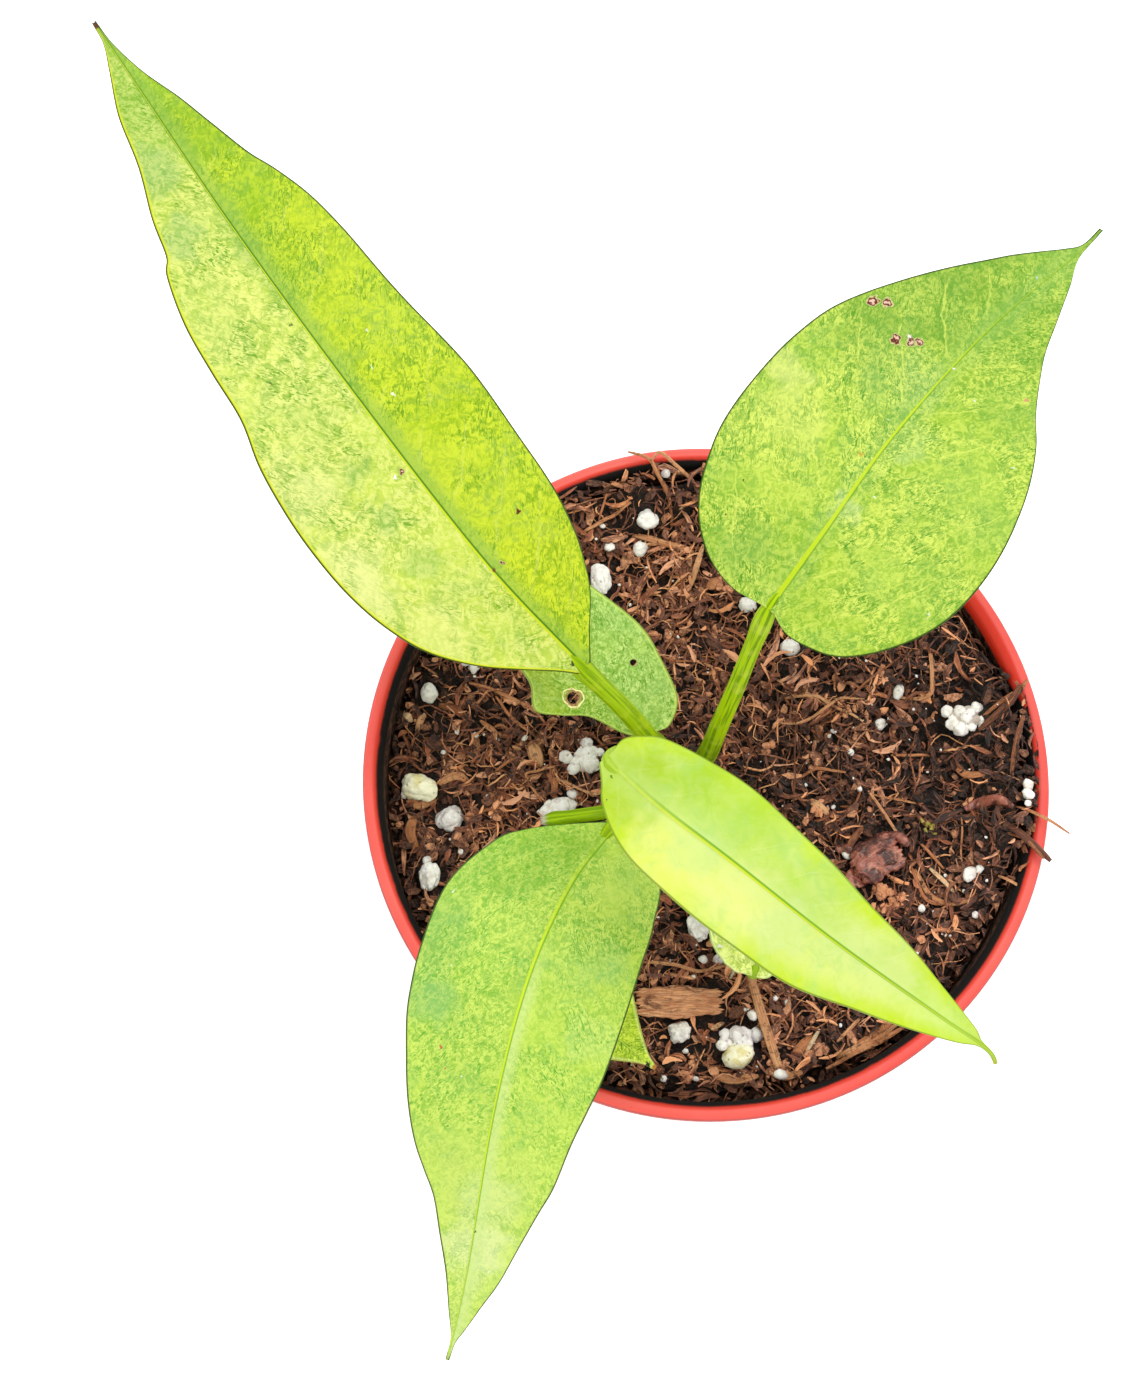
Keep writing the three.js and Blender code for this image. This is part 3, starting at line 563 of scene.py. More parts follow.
golden = (1 + 5**0.5) / 2
crumb_corners = np.array([
    (-1, golden, 0), (1, golden, 0), (-1, -golden, 0), (1, -golden, 0), (0, -1, golden), (0, 1, golden),
    (0, -1, -golden), (0, 1, -golden), (golden, 0, -1), (golden, 0, 1), (-golden, 0, -1), (-golden, 0, 1),
]) / math.hypot(1, golden)
crumb_faces = [
    (0, 11, 5), (0, 5, 1), (0, 1, 7), (0, 7, 10), (0, 10, 11), (1, 5, 9), (5, 11, 4), (11, 10, 2),
    (10, 7, 6), (7, 1, 8), (3, 9, 4), (3, 4, 2), (3, 2, 6), (3, 6, 8), (3, 8, 9), (4, 9, 5),
    (2, 4, 11), (6, 2, 10), (8, 6, 7), (9, 8, 1),
]


def loose_matter(name, dark, middle, light, gloss=0.75):
    """Plant matter whose tone follows the piece it is on, with fine streaks and grit."""
    finish = Finish(name)
    place = finish.place()
    tone = finish.fact("tone")
    streak = finish.speckle(place, 1.8, 4.0, 0.7, 0.8)
    shade = tone * 0.8 + (streak - 0.5) * 1.5 + 0.08
    colour = finish.blend(shade.ramp(0.0, 0.45), dark, middle)
    colour = finish.blend(shade.ramp(0.45, 0.95), colour, light)
    bumps = finish.relief(finish.speckle(place, 5.0, 3.0, 0.7), 0.25, 0.7)
    return finish.dress({"Base Color": colour, "Roughness": gloss + 0.2 * streak, "Normal": bumps})


def crumbs_at(shape, dice, x, y, size, level, tone, coat=0):
    """Faceted grains added to a shape, each with its own dents, stretch and turn."""
    count = len(x)
    stretch = np.stack([1 + 0.8 * dice.random(count), 0.8 + 0.4 * dice.random(count),
        np.full(count, 0.8)], axis=-1)
    dents = 0.7 + 0.55 * dice.random((count, 12))
    corners = crumb_corners[None] * dents[..., None] * (size[:, None] * stretch)[:, None, :]
    corners = np.einsum("nij,nkj->nki", turns(dice, count, 0.9), corners)
    corners = kept_inside(corners + np.stack([x, y, level], axis=-1)[:, None, :])
    shape.add(corners, repeated(crumb_faces, 12, count), coat, tone=np.repeat(tone, 12))


# Heaps of like crumbs, as x and y, how far each heap spreads, their number, size, tone and coat
crumb_heaps = [
    ((28.6, -18.0), 1.9, 34, 0.42, 1.15, 0), ((34.9, -6.8), 1.1, 12, 0.3, 0.6, 1),
    ((17.8, -3.5), 1.1, 12, 0.5, 1.0, 0),
    ((27.6, -16.4), 0.9, 8, 0.6, 1.0, 0), ((-20.6, -1.0), 1.6, 18, 0.4, 0.8, 0),
    ((-36.0, -8.5), 1.6, 12, 0.4, 0.75, 0),
    ((11.0, -43.6), 2.0, 18, 0.45, 0.85, 0), ((3.4, 32.0), 1.6, 14, 0.5, 0.9, 0),
    ((22.5, 12.0), 1.8, 14, 0.42, 0.8, 0),
]


def make_crumbs():
    dice = np.random.RandomState(41)
    grains = Shape()
    x, y = strewn(dice, 3600, 0.5, -1.2)
    size = 0.2 + 0.62 * dice.random(len(x)) ** 2.4
    raised = dice.random(len(x))
    level = mix_at(x, y) - sunk_at(x, y) * dice.random(len(x)) ** 0.3 - 0.75 + raised + 0.25 * size
    # Tone: random, lowered for crumbs that lie deeper in the mat as painted shade, and raised in the places
    # where the mix is painted paler.
    tone = dice.random(len(x)) ** 1.8 * (0.4 + 0.8 * raised) + painted_paleness(x, y)
    crumbs_at(grains, dice, x, y, size, level, np.clip(tone, 0, 1.2))
    for (heap_x, heap_y), spread, count, big, tone, coat in crumb_heaps:
        x = heap_x + dice.randn(count) * spread * 0.5
        y = heap_y + dice.randn(count) * spread * 0.5
        size = big * (0.6 + 0.8 * dice.random(count))
        level = mix_at(x, y) + 0.25 + 0.6 * dice.random(count)
        crumbs_at(grains, dice, x, y, size, level, tone * (0.8 + 0.3 * dice.random(count)), coat)
    humus_grain = loose_matter("humus_crumbs", ink(26, 16, 12), ink(128, 80, 58), ink(270, 186, 134))
    moss_grain = loose_matter("moss_crumbs", ink(120, 118, 30), ink(186, 178, 62), ink(232, 226, 130))
    return grains.piece("humus_crumbs", [humus_grain, moss_grain], smooth=False)


make_crumbs()

# Chips of coir husk and bark make up most of the mat. They are splinters, torn, bowed and curled,
# tipped every way, from purple-brown to orange tan where the inside of the husk shows.


def husk_chips():
    """Splinters with lengthwise grain, whose tone and warmth follow the chip."""
    finish = Finish("husk_chips")
    place = finish.place()
    tone = finish.fact("tone")
    warmth = finish.fact("warmth")
    along, aside, seed = finish.split(finish.fact("lay", "Vector"))
    grain = finish.speckle(finish.vector(along * 0.5, aside * 4.5, seed), 1.0, 3.0, 0.65)
    mould = finish.speckle(place, 0.7, 3.0, 0.6)
    shade = tone * 0.85 + (grain - 0.5) * 1.4 + (mould - 0.5) * 0.8 + 0.03
    dark = finish.blend(warmth, ink(24, 15, 12), ink(40, 22, 15))
    middle = finish.blend(warmth, ink(146, 92, 72), ink(192, 110, 68))
    light = finish.blend(warmth, ink(284, 208, 164), ink(306, 210, 140))
    colour = finish.blend(shade.ramp(-0.05, 0.42), dark, middle)
    colour = finish.blend(shade.ramp(0.42, 0.9), colour, light)
    bumps = finish.relief(grain + 0.5 * mould, 0.3, 0.8)
    return finish.dress({"Base Color": colour, "Roughness": 0.5 + 0.35 * grain, "Normal": bumps})


def make_chips():
    dice = np.random.RandomState(73)
    x, y = strewn(dice, 4300, 0.7, -1.3)
    count, rings = len(x), 5
    share = np.linspace(-1, 1, rings)[None, :]
    half = 0.55 + 2.3 * dice.random((count, 1)) ** 1.7
    width = np.minimum(0.12 + 0.46 * dice.random((count, 1)) ** 1.6, half * 0.5)
    thick = 0.06 + 0.14 * dice.random((count, 1))
    along = share * half
    aside = (dice.random((count, 1)) - 0.5) * half * 0.9 * (1 - share**2)
    lift = (dice.random((count, 1)) - 0.35) * half * 0.5 * share**2
    torn = (1 - 0.55 * share**2) * (0.65 + 0.6 * dice.random((count, rings)))
    roll = (dice.random((count, 1)) - 0.5) * 1.6 + (dice.random((count, 1)) - 0.5) * 1.6 * share
    route = np.stack([along, aside, lift], axis=-1)[:, :, None, :]
    corner = np.arange(4) * np.pi / 2
    wide = np.cos(corner) * (width * torn)[..., None]
    high = np.sin(corner) * (thick * torn)[..., None]
    turn_cos, turn_sin = np.cos(roll)[..., None], np.sin(roll)[..., None]
    section = np.stack([0 * wide, wide * turn_cos - high * turn_sin, wide * turn_sin + high * turn_cos],
        axis=-1)
    corners = (route + section).reshape(count, rings * 4, 3)
    corners = np.einsum("nij,nkj->nki", turns(dice, count, 0.5), corners)
    raised = dice.random(count)
    level = mix_at(x, y) - sunk_at(x, y) * dice.random(count) ** 0.3 - 0.3 + 1.15 * raised
    corners = kept_inside(corners + np.stack([x, y, level], axis=-1)[:, None, :])
    chip = ring_faces(rings, 4).tolist() + [(3, 2, 1, 0), tuple(np.arange(4) + (rings - 1) * 4)]
    seed = np.broadcast_to(dice.random((count, 1, 1)) * 50, wide.shape)
    lay = np.stack([np.broadcast_to(along[..., None], wide.shape), wide, seed], axis=-1).reshape(-1, 3)
    # Tone: random, lowered for chips that lie deeper in the mat as painted shade, and raised in the places
    # where the mix is painted paler.
    tone = dice.random(count) ** 1.9 * (0.4 + 0.9 * raised) + painted_paleness(x, y)
    facts = {"lay": lay, "tone": np.repeat(np.clip(tone, 0, 1.2), rings * 4)}
    facts["warmth"] = np.repeat(dice.random(count), rings * 4)
    chips = Shape().add(corners, repeated(chip, rings * 4, count), **facts)
    return chips.piece("husk_chips", [husk_chips()], smooth=False)


make_chips()

# Between the splinters lie broader flakes of bark and pith, torn to five or six sides, thin and
# flat, some on edge.


def make_flakes():
    dice = np.random.RandomState(29)
    x, y = strewn(dice, 1300, 0.9, -0.8)
    count = len(x)
    length = 1.4 + 2.6 * dice.random(count) ** 1.8
    width = 0.7 + 1.1 * dice.random(count)
    thick = 0.16 + 0.25 * dice.random(count)
    angle = (np.arange(6) / 6 * 2 * np.pi)[None] + (dice.random((count, 6)) - 0.5) * 0.7
    torn = 0.7 + 0.5 * dice.random((count, 6))
    flat_x = np.cos(angle) * torn * length[:, None] / 2
    flat_y = np.sin(angle) * torn * width[:, None] / 2
    bend = (dice.random((count, 1)) - 0.5) * 0.5 * (flat_x / (length[:, None] / 2)) ** 2
    top = np.stack([flat_x, flat_y, bend + thick[:, None] / 2], axis=-1)
    under = np.stack([flat_x * 0.94, flat_y * 0.94, bend - thick[:, None] / 2], axis=-1)
    corners = np.concatenate([top, under], axis=1)
    corners = np.einsum("nij,nkj->nki", turns(dice, count, 0.6), corners)
    raised = dice.random(count)
    level = mix_at(x, y) - sunk_at(x, y) * dice.random(count) ** 0.3 - 0.35 + 0.95 * raised
    corners = kept_inside(corners + np.stack([x, y, level], axis=-1)[:, None, :])
    # Tone: random, lowered for flakes that lie deeper in the mat as painted shade, and raised in the places
    # where the mix is painted paler.
    tone = np.repeat(dice.random(count) ** 1.6 * (0.4 + 0.7 * raised) + painted_paleness(x, y), 12)
    shard = [(0, 1, 2, 3), (0, 3, 4, 5), (9, 8, 7, 6), (11, 10, 9, 6)]
    shard += [(i + 6, (i + 1) % 6 + 6, (i + 1) % 6, i) for i in range(6)]
    flakes = Shape().add(corners, repeated(shard, 12, count), tone=tone)
    finish = loose_matter("bark_pith", ink(30, 19, 15), ink(146, 92, 68), ink(276, 196, 142), 0.6)
    return flakes.piece("bark_flakes", [finish], smooth=False)


make_flakes()

# Coir fibres, the coarse brown hairs of the husk, run through the top of the mix in every
# direction. They were pulled apart by machine, so they bow, kink and taper at both ends.


def make_fibres():
    dice = np.random.RandomState(19)
    x, y = strewn(dice, 1900, 0.6, 1.0)
    count, rings, sides = len(x), 8, 4
    share = np.linspace(-1, 1, rings)[None, :]
    half = 1.2 + 3.6 * dice.random((count, 1)) ** 2
    heading = dice.random((count, 1)) * 2 * np.pi
    bow = (dice.random((count, 1)) - 0.5) * half * 1.1
    sway = (dice.random((count, 1)) - 0.5) * half * 0.6
    along = share * half
    aside = bow * (1 - share**2) + sway * np.sin(share * np.pi)
    aside = aside + (dice.random((count, rings)) - 0.5) * 0.25
    px = x[:, None] + along * np.cos(heading) - aside * np.sin(heading)
    py = y[:, None] + along * np.sin(heading) + aside * np.cos(heading)
    far = np.hypot(px, py) / (soil_rim + 0.6)
    px, py = px / np.maximum(far, 1), py / np.maximum(far, 1)
    lift = 0.1 + 0.8 * dice.random((count, 1)) + (dice.random((count, 1)) - 0.5) * 0.9 * share
    pz = mix_at(px, py) + lift - 0.5 * share**4
    route = np.stack([px, py, pz], axis=-1)
    ahead = np.gradient(route, axis=1)
    ahead /= np.linalg.norm(ahead, axis=-1, keepdims=True)
    left = np.cross([0.0, 0.0, 1.0], ahead)
    left /= np.linalg.norm(left, axis=-1, keepdims=True)
    up = np.cross(ahead, left)
    thick = 0.055 + 0.14 * dice.random((count, 1)) ** 2.6
    radius = thick * (1 - 0.75 * share**6) * (0.8 + 0.4 * dice.random((count, rings)))
    angles = (np.arange(sides) + 0.5) / sides * 2 * np.pi
    flat = 0.6 + 0.4 * dice.random((count, 1, 1, 1))
    corners = route[:, :, None, :] + radius[:, :, None, None] * (
        left[:, :, None, :] * np.cos(angles)[:, None] * 1.25
        + up[:, :, None, :] * np.sin(angles)[:, None] * flat
    )
    # Tone: random, raised in the places where the mix is painted paler.
    tone = np.repeat(dice.random(count) ** 2.2 + 0.8 * painted_paleness(x, y), rings * sides)
    hair = ring_faces(rings, sides).tolist() + [(3, 2, 1, 0), tuple(np.arange(4) + (rings - 1) * sides)]
    hairs = Shape().add(kept_inside(corners), repeated(hair, rings * sides, count), tone=tone)
    finish = loose_matter("coir_fibre", ink(52, 30, 22), ink(186, 112, 74), ink(296, 214, 148), 0.5)
    return hairs.piece("coir_fibres", [finish])


make_fibres()

# Long straws and split fibres that stand out on the mat, and those that climb over the rim. Each
# is a flat ribbon of husk or reed, laid along its own route, thicker at the middle than at its ends.


def frames(route, upward):
    """Directions ahead, to the left and up along a route, carried on without twisting."""
    ahead = np.gradient(route, axis=0)
    ahead /= np.linalg.norm(ahead, axis=-1, keepdims=True)
    ups = []
    up = np.asarray(upward, float)
    for direction in ahead:
        up = up - direction * up.dot(direction)
        up = up / np.linalg.norm(up)
        ups.append(up)
    ups = np.array(ups)
    return ahead, np.cross(ups, ahead), ups


def ribbon(points, width, height, steps=22, sides=10, blunt=0.35):
    """Corners and faces of a flat strip with round edges, its route smooth through the points."""
    share = np.linspace(0, 1, steps)
    route = catmull(points, share)
    _, left, up = frames(route, (0.0, 0.0, 1.0))
    taper = blunt + (1 - blunt) * np.sin(np.pi * np.clip(share, 0.02, 0.98)) ** 0.4
    angles = np.arange(sides) / sides * 2 * np.pi
    wide = left[:, None, :] * np.cos(angles)[None, :, None] * (width / 2)
    high = up[:, None, :] * np.sin(angles)[None, :, None] * (height / 2)
    corners = route[:, None, :] + (wide + high) * taper[:, None, None]
    ends = [np.arange(sides)[None, ::-1], (np.arange(sides) + (steps - 1) * sides)[None, :]]
    length = np.linalg.norm(np.diff(route, axis=0), axis=1).sum()
    lay = np.stack([share * length, 0 * share, 0 * share], axis=-1)[:, None, :] + np.stack(
        [0 * angles, np.cos(angles) * width / 2, angles], axis=-1
    )
    return corners, [ring_faces(steps, sides), *ends], lay.reshape(-1, 3)


# Routes on the mix, as x and y in millimetres, then width, tone and how far above the mix each lies
straws = [
    ([(-36.4, 16.6), (-31.6, 15.1), (-26.5, 12.1), (-24.5, 10.2)], 0.62, 0.80, 0.7),
    ([(-32.2, 14.5), (-29.4, 10.6), (-25.8, 8.1)], 0.55, 0.78, 0.8),
    ([(-27.3, 0.9), (-26.9, 2.1), (-20.5, 3.9)], 0.42, 0.82, 1.4),
    ([(-27.1, 0.4), (-25.0, -2.4)], 0.34, 0.80, 0.8),
    ([(-22.9, 1.3), (-16.8, -1.5), (-16.1, -0.4)], 0.45, 0.95, 2.0),
    ([(-23.7, 5.6), (-23.5, -0.4)], 0.42, 0.55, 1.0),
    ([(-32.2, 2.6), (-29.0, 4.5)], 0.45, 0.72, 0.8),
    ([(-32.8, 9.6), (-31.5, 10.0), (-30.0, 9.0)], 0.5, 0.8, 0.8),
    ([(-35.8, -4.3), (-33.0, -3.7), (-30.8, -4.5)], 0.5, 0.6, 0.7),
    ([(-19.0, 39.8), (-15.0, 42.2), (-11.2, 44.6)], 0.62, 0.84, 1.0),
    ([(-16.2, 42.0), (-15.0, 45.8)], 0.4, 0.7, 1.2),
    ([(-10.8, 40.3), (-6.4, 39.0), (-1.2, 37.5)], 1.1, 0.82, 0.9),
    ([(-1.8, 31.8), (0.3, 38.7)], 1.0, 1.0, 1.2),
    ([(-3.5, 43.9), (-0.5, 45.2)], 0.5, 0.98, 0.9),
    ([(35.3, 21.6), (35.6, 16.2), (34.5, 13.6), (30.6, 14.1)], 0.75, 0.86, 1.2),
    ([(12.0, 14.1), (17.0, 14.1), (19.8, 13.0), (25.3, 9.7)], 0.55, 0.95, 1.0),
    ([(12.0, 9.7), (15.2, 9.9), (19.0, 12.2), (21.4, 13.8), (25.2, 13.8)], 0.5, 0.9, 1.3),
    ([(14.5, 13.3), (13.9, -2.7)], 0.32, 0.45, 1.5),
    ([(14.2, 0.9), (17.5, 2.6), (22.0, 2.0)], 0.5, 0.78, 0.9),
    ([(25.4, -0.9), (30.5, -8.8)], 0.5, 0.92, 1.5),
    ([(25.4, -1.3), (33.9, -2.8)], 0.4, 0.8, 0.9),
    ([(29.1, 4.8), (35.3, 4.7)], 0.5, 0.75, 0.8),
    ([(39.7, -4.3), (39.5, -12.5)], 0.32, 0.8, 1.3),
    ([(34.6, -13.0), (38.3, -16.8)], 0.75, 1.15, 1.0),
    ([(31.8, -12.5), (34.2, -17.9), (40.1, -18.2)], 0.6, 0.68, 0.8),
    ([(33.2, -8.8), (36.9, -13.0)], 0.5, 0.7, 0.9),
    ([(44.8, -14.6), (48.0, -16.8)], 0.5, 0.85, 0.8),
    ([(-9.6, -27.2), (-5.0, -27.8), (-0.4, -28.6), (3.8, -27.8)], 0.6, 0.9, 1.0),
    ([(4.7, -28.1), (3.8, -30.0)], 0.55, 1.35, 1.6),
    ([(17.4, -37.6), (15.2, -41.3)], 0.7, 1.2, 0.9),
    ([(19.9, -39.7), (24.1, -35.4)], 0.6, 0.9, 0.8),
    ([(18.3, -43.6), (23.2, -41.1), (27.0, -39.2), (30.7, -37.1)], 0.9, 0.8, 0.5),
    ([(12.6, 26.1), (18.0, 24.6), (23.5, 26.0)], 0.35, 0.8, 1.0),
    ([(3.8, 16.6), (8.1, 20.8), (9.9, 27.5)], 0.35, 0.6, 0.9),
    ([(31.0, 20.5), (26.6, 17.2), (22.0, 13.4)], 0.35, 0.6, 1.0),
    ([(-31.0, -13.2), (-36.5, -16.0), (-38.5, -20.0)], 0.4, 0.62, 0.8),
    ([(-10.3, 24.2), (-5.6, 20.4), (1.2, 19.8)], 0.42, 0.66, 0.8),
]

# Broad flakes of husk on the mix, as route, width, tone and how far above the mix each lies
broad_flakes = [
    ([(-26.6, 7.5), (-26.0, 5.3), (-25.3, 3.3)], 2.3, 0.98, 0.9),
    ([(-43.2, 11.8), (-43.9, 10.4), (-44.5, 8.8)], 1.1, 1.0, 0.9),
    ([(-46.4, 11.5), (-45.2, 10.4)], 1.2, 1.15, 0.9),
    ([(-40.9, 0.4), (-38.5, 1.6), (-36.4, 0.9)], 1.4, 0.84, 0.9),
    ([(-45.9, -1.8), (-43.8, -2.7), (-41.4, -1.6)], 1.5, 0.82, 0.7),
    ([(-44.6, -4.6), (-45.3, -7.2), (-44.2, -9.8)], 1.7, 0.78, 0.8),
    ([(-24.2, 2.4), (-23.0, 0.4), (-23.4, -1.4)], 1.1, 0.78, 0.8),
    ([(-34.6, 10.6), (-32.6, 9.2), (-31.8, 7.6)], 0.9, 0.82, 0.9),
    ([(-41.0, 13.4), (-38.6, 12.6), (-36.8, 10.8)], 1.3, 0.6, 0.7),
    ([(-30.2, -6.4), (-27.8, -7.6), (-25.2, -7.2)], 1.0, 0.76, 0.7),
    ([(13.4, -41.6), (15.0, -40.2), (16.5, -38.7)], 2.0, 0.7, 0.7),
    ([(9.2, -43.9), (11.8, -44.8), (14.6, -44.3)], 1.4, 0.86, 0.6),
    ([(1.2, -44.6), (4.4, -45.3), (8.0, -44.7)], 1.5, 0.88, 0.6),
    ([(0.8, -37.7), (2.9, -36.5)], 0.8, 1.05, 0.9),
    ([(19.9, -41.9), (24.6, -39.8), (29.6, -36.6)], 1.2, 0.86, 0.5),
    ([(22.4, -40.3), (27.2, -37.4), (31.4, -33.8)], 1.0, 0.76, 0.7),
    ([(21.7, -10.9), (22.9, -8.6), (24.5, -6.4)], 1.1, 0.5, 0.9),
    ([(16.2, -2.3), (17.6, -3.2), (19.4, -4.6)], 1.2, 1.02, 0.9),
    ([(32.4, -13.0), (34.6, -17.0), (38.0, -18.4), (40.8, -18.1)], 0.9, 0.84, 0.9),
    ([(1.0, 32.6), (2.4, 31.6)], 2.4, 0.8, 0.9),
    ([(10.8, 34.6), (14.6, 33.2), (17.6, 30.4)], 1.2, 0.72, 0.8),
    ([(27.0, 26.8), (29.8, 24.2), (31.0, 21.6)], 1.2, 0.7, 0.8),
    ([(38.6, 3.0), (40.8, 1.2), (43.6, 1.4)], 1.3, 0.74, 0.8),
]

# Each fibre that climbs over the rim, as its width, tone and route
rim_fibres = [
    (0.62, 0.78, [(-4.5, 42, 81.5), (-5.2, 45.5, 85.6), (-7.2, 48.4, 89), (-8.6, 50.6, 89.8),
        (-11.8, 51.6, 90)]),
    (0.62, 0.9, [(-8.2, 50.2, 89.9), (-6.8, 51.4, 90.4), (-4.6, 49.8, 89.7), (-1.6, 48, 87),
        (1.4, 46.4, 82.5)]),
    (0.5, 0.8, [(47.4, -4.0, 86.6), (49.0, -5.0, 88.8), (52.1, -6.9, 90.1), (55.1, -9, 90.2)]),
    (1.2, 0.36, [(45.4, -6.6, 87.6), (47.4, -8.4, 89.0), (49.8, -10.8, 89.7), (52.1, -13.2, 90.0)]),
    (0.6, 0.56, [(46.2, -8.4, 87.2), (48.4, -9.6, 89.2), (50.0, -11.6, 90.0), (51.0, -12.9, 90.3)]),
    (1.2, 0.42, [(42.4, 8.2, 86.0), (45.2, 10.4, 88.0), (47.4, 12.6, 89.0), (48.6, 14.6, 89.3)]),
    (0.8, 0.62, [(43.2, 10.4, 86.0), (46.0, 12.4, 88.2), (48.4, 13.8, 89.0), (49.6, 15.4, 89.2)]),
    (0.9, 0.5, [(46.8, 0.6, 88.4), (47.6, 5.6, 89.6), (48.8, 9.6, 89.9)]),
]
long_straw = [(6.9, -29.8, 82.2), (8.9, -37, 81.9), (11.0, -43.6, 81.4)]


def split_husk():
    """Ribbons of husk with lengthwise grain, orange tan to straw."""
    finish = Finish("split_husk")
    place = finish.place()
    tone = finish.fact("tone")
    along, aside, _ = finish.split(finish.fact("lay", "Vector"))
    grain = finish.speckle(finish.vector(along * 0.25, aside * 5.0, tone * 30.0), 1.0, 4.0, 0.7)
    shade = tone + (grain - 0.5) * 1.1
    colour = finish.blend(shade.ramp(0.35, 0.75), ink(120, 66, 42), ink(232, 146, 90))
    colour = finish.blend(shade.ramp(0.7, 1.1), colour, ink(286, 216, 154))
    colour = finish.blend(shade.ramp(1.05, 1.3), colour, ink(272, 252, 206))
    stain = finish.speckle(place, 1.3, 3.0, 0.6).ramp(0.52, 0.66)
    colour = finish.blend(stain * 0.6, colour, ink(72, 42, 30))
    return finish.dress({"Base Color": colour, "Roughness": 0.5 + 0.3 * grain,
        "Normal": finish.relief(grain, 0.5, 0.9)})


def make_straws():
    reeds = Shape()
    for route, width, tone, lift in straws + broad_flakes:
        points = catmull(route, np.linspace(0, 1, 9))
        over = lift * np.sin(np.linspace(0.12, 0.88, 9) * np.pi)
        level = mix_at(points[:, 0], points[:, 1]) + over
        spaced = np.column_stack([points, level])
        blunt = 0.35 if width < 0.8 else 0.12
        corners, faces, lay = ribbon(spaced, width, 0.18 + width * 0.2, 26, 8, blunt)
        reeds.add(corners, faces, lay=lay, tone=tone)
    for width, tone, route in rim_fibres:
        corners, faces, lay = ribbon(route, width, 0.4, 40, 8, 0.3)
        reeds.add(corners, faces, lay=lay, tone=tone)
    corners, faces, lay = ribbon(long_straw, 1.5, 0.6, 30, 12, 0.75)
    reeds.add(corners, faces, lay=lay, tone=0.9)
    return reeds.piece("straws", [split_husk()])


make_straws()

# Two pieces of pine bark lie on the mix: an orange slab, split along its grain, and a dark glossy
# lobed chunk, with four curls like it. They were chipped with the mix and lie where it was poured.


def closed_sheet(top, under):
    """Corners and quads of a thin closed body between two grids of the same rows and columns."""
    rows, columns = top.shape[:2]
    number = np.arange(rows * columns).reshape(rows, columns)
    low = number + rows * columns
    cells = np.stack([number[:-1, :-1], number[1:, :-1], number[1:, 1:], number[:-1, 1:]], axis=-1)
    turned_cells = np.stack([low[:-1, :-1], low[:-1, 1:], low[1:, 1:], low[1:, :-1]], axis=-1)
    rim = np.concatenate([number[:, 0], number[-1, 1:], number[-2::-1, -1], number[0, -2:0:-1]])
    after = np.roll(rim, -1)
    shift = rows * columns
    strip = np.stack([rim, rim + shift, after + shift, after], axis=-1)
    corners = np.concatenate([top.reshape(-1, 3), under.reshape(-1, 3)])
    return corners, [cells.reshape(-1, 4), turned_cells.reshape(-1, 4), strip]


def split_bark():
    """Orange wood side of bark with lines of grain along its length, dark cracks and worn spots."""
    finish = Finish("split_bark")
    along, aside, seed = finish.split(finish.fact("lay", "Vector"))
    grain = finish.speckle(finish.vector(along * 0.28, aside * 2.6, seed), 1.0, 5.0, 0.7, 0.5)
    hair = finish.speckle(finish.vector(along * 0.5, aside * 6.0, seed), 1.0, 3.0, 0.6)
    worn = finish.speckle(finish.vector(along * 0.3, aside * 0.55, seed + 3.0), 1.0, 4.0, 0.65, 0.8)
    colour = finish.blend(grain.ramp(0.35, 0.6), ink(230, 146, 96), ink(286, 206, 146))
    colour = finish.blend(hair.ramp(0.5, 0.68) * 0.5, colour, ink(296, 236, 184))
    colour = finish.blend((1 - hair.ramp(0.36, 0.46)) * 0.5, colour, ink(150, 84, 54))
    colour = finish.blend(worn.ramp(0.56, 0.66) * 0.8, colour, ink(110, 62, 42))
    crack = 1 - abs(grain - 0.5).ramp(0.0, 0.02)
    colour = finish.blend(crack * 0.7, colour, ink(66, 38, 28))
    bumps = grain * 0.8 + hair * 0.4 - worn.ramp(0.54, 0.64) * 0.6
    return finish.dress({"Base Color": colour, "Roughness": 0.62 + 0.2 * grain,
        "Normal": finish.relief(bumps, 0.5, 0.9)})


def glossy_bark():
    """Purple-brown outer bark, wet-looking, with pinkish patches of painted highlight, dark patches of
    painted shade and pale specks of resin.
    """
    finish = Finish("glossy_bark")
    place = finish.place()
    swirl = finish.speckle(place, 0.22, 3.0, 0.6, 2.2)
    patch = finish.speckle(place, 0.5, 4.0, 0.65, 1.2)
    speck = finish.cells(place, 1.3)
    colour = finish.blend(swirl.ramp(0.4, 0.6), ink(92, 44, 34), ink(190, 110, 88))
    # Painted highlight: pinkish patches where the glossy bark catches the light.
    colour = finish.blend(patch.ramp(0.54, 0.7) * 0.6, colour, ink(262, 186, 156))
    # Painted shade: dark patches for its crevices.
    colour = finish.blend((1 - patch.ramp(0.34, 0.46)) * 0.6, colour, ink(50, 26, 24))
    colour = finish.blend((1 - speck.ramp(0.05, 0.1)) * 0.8, colour, ink(250, 220, 200))
    bumps = finish.relief(swirl * 1.6, 0.5, 0.8)
    return finish.dress({"Base Color": colour, "Roughness": 0.22 + 0.3 * patch, "Normal": bumps})


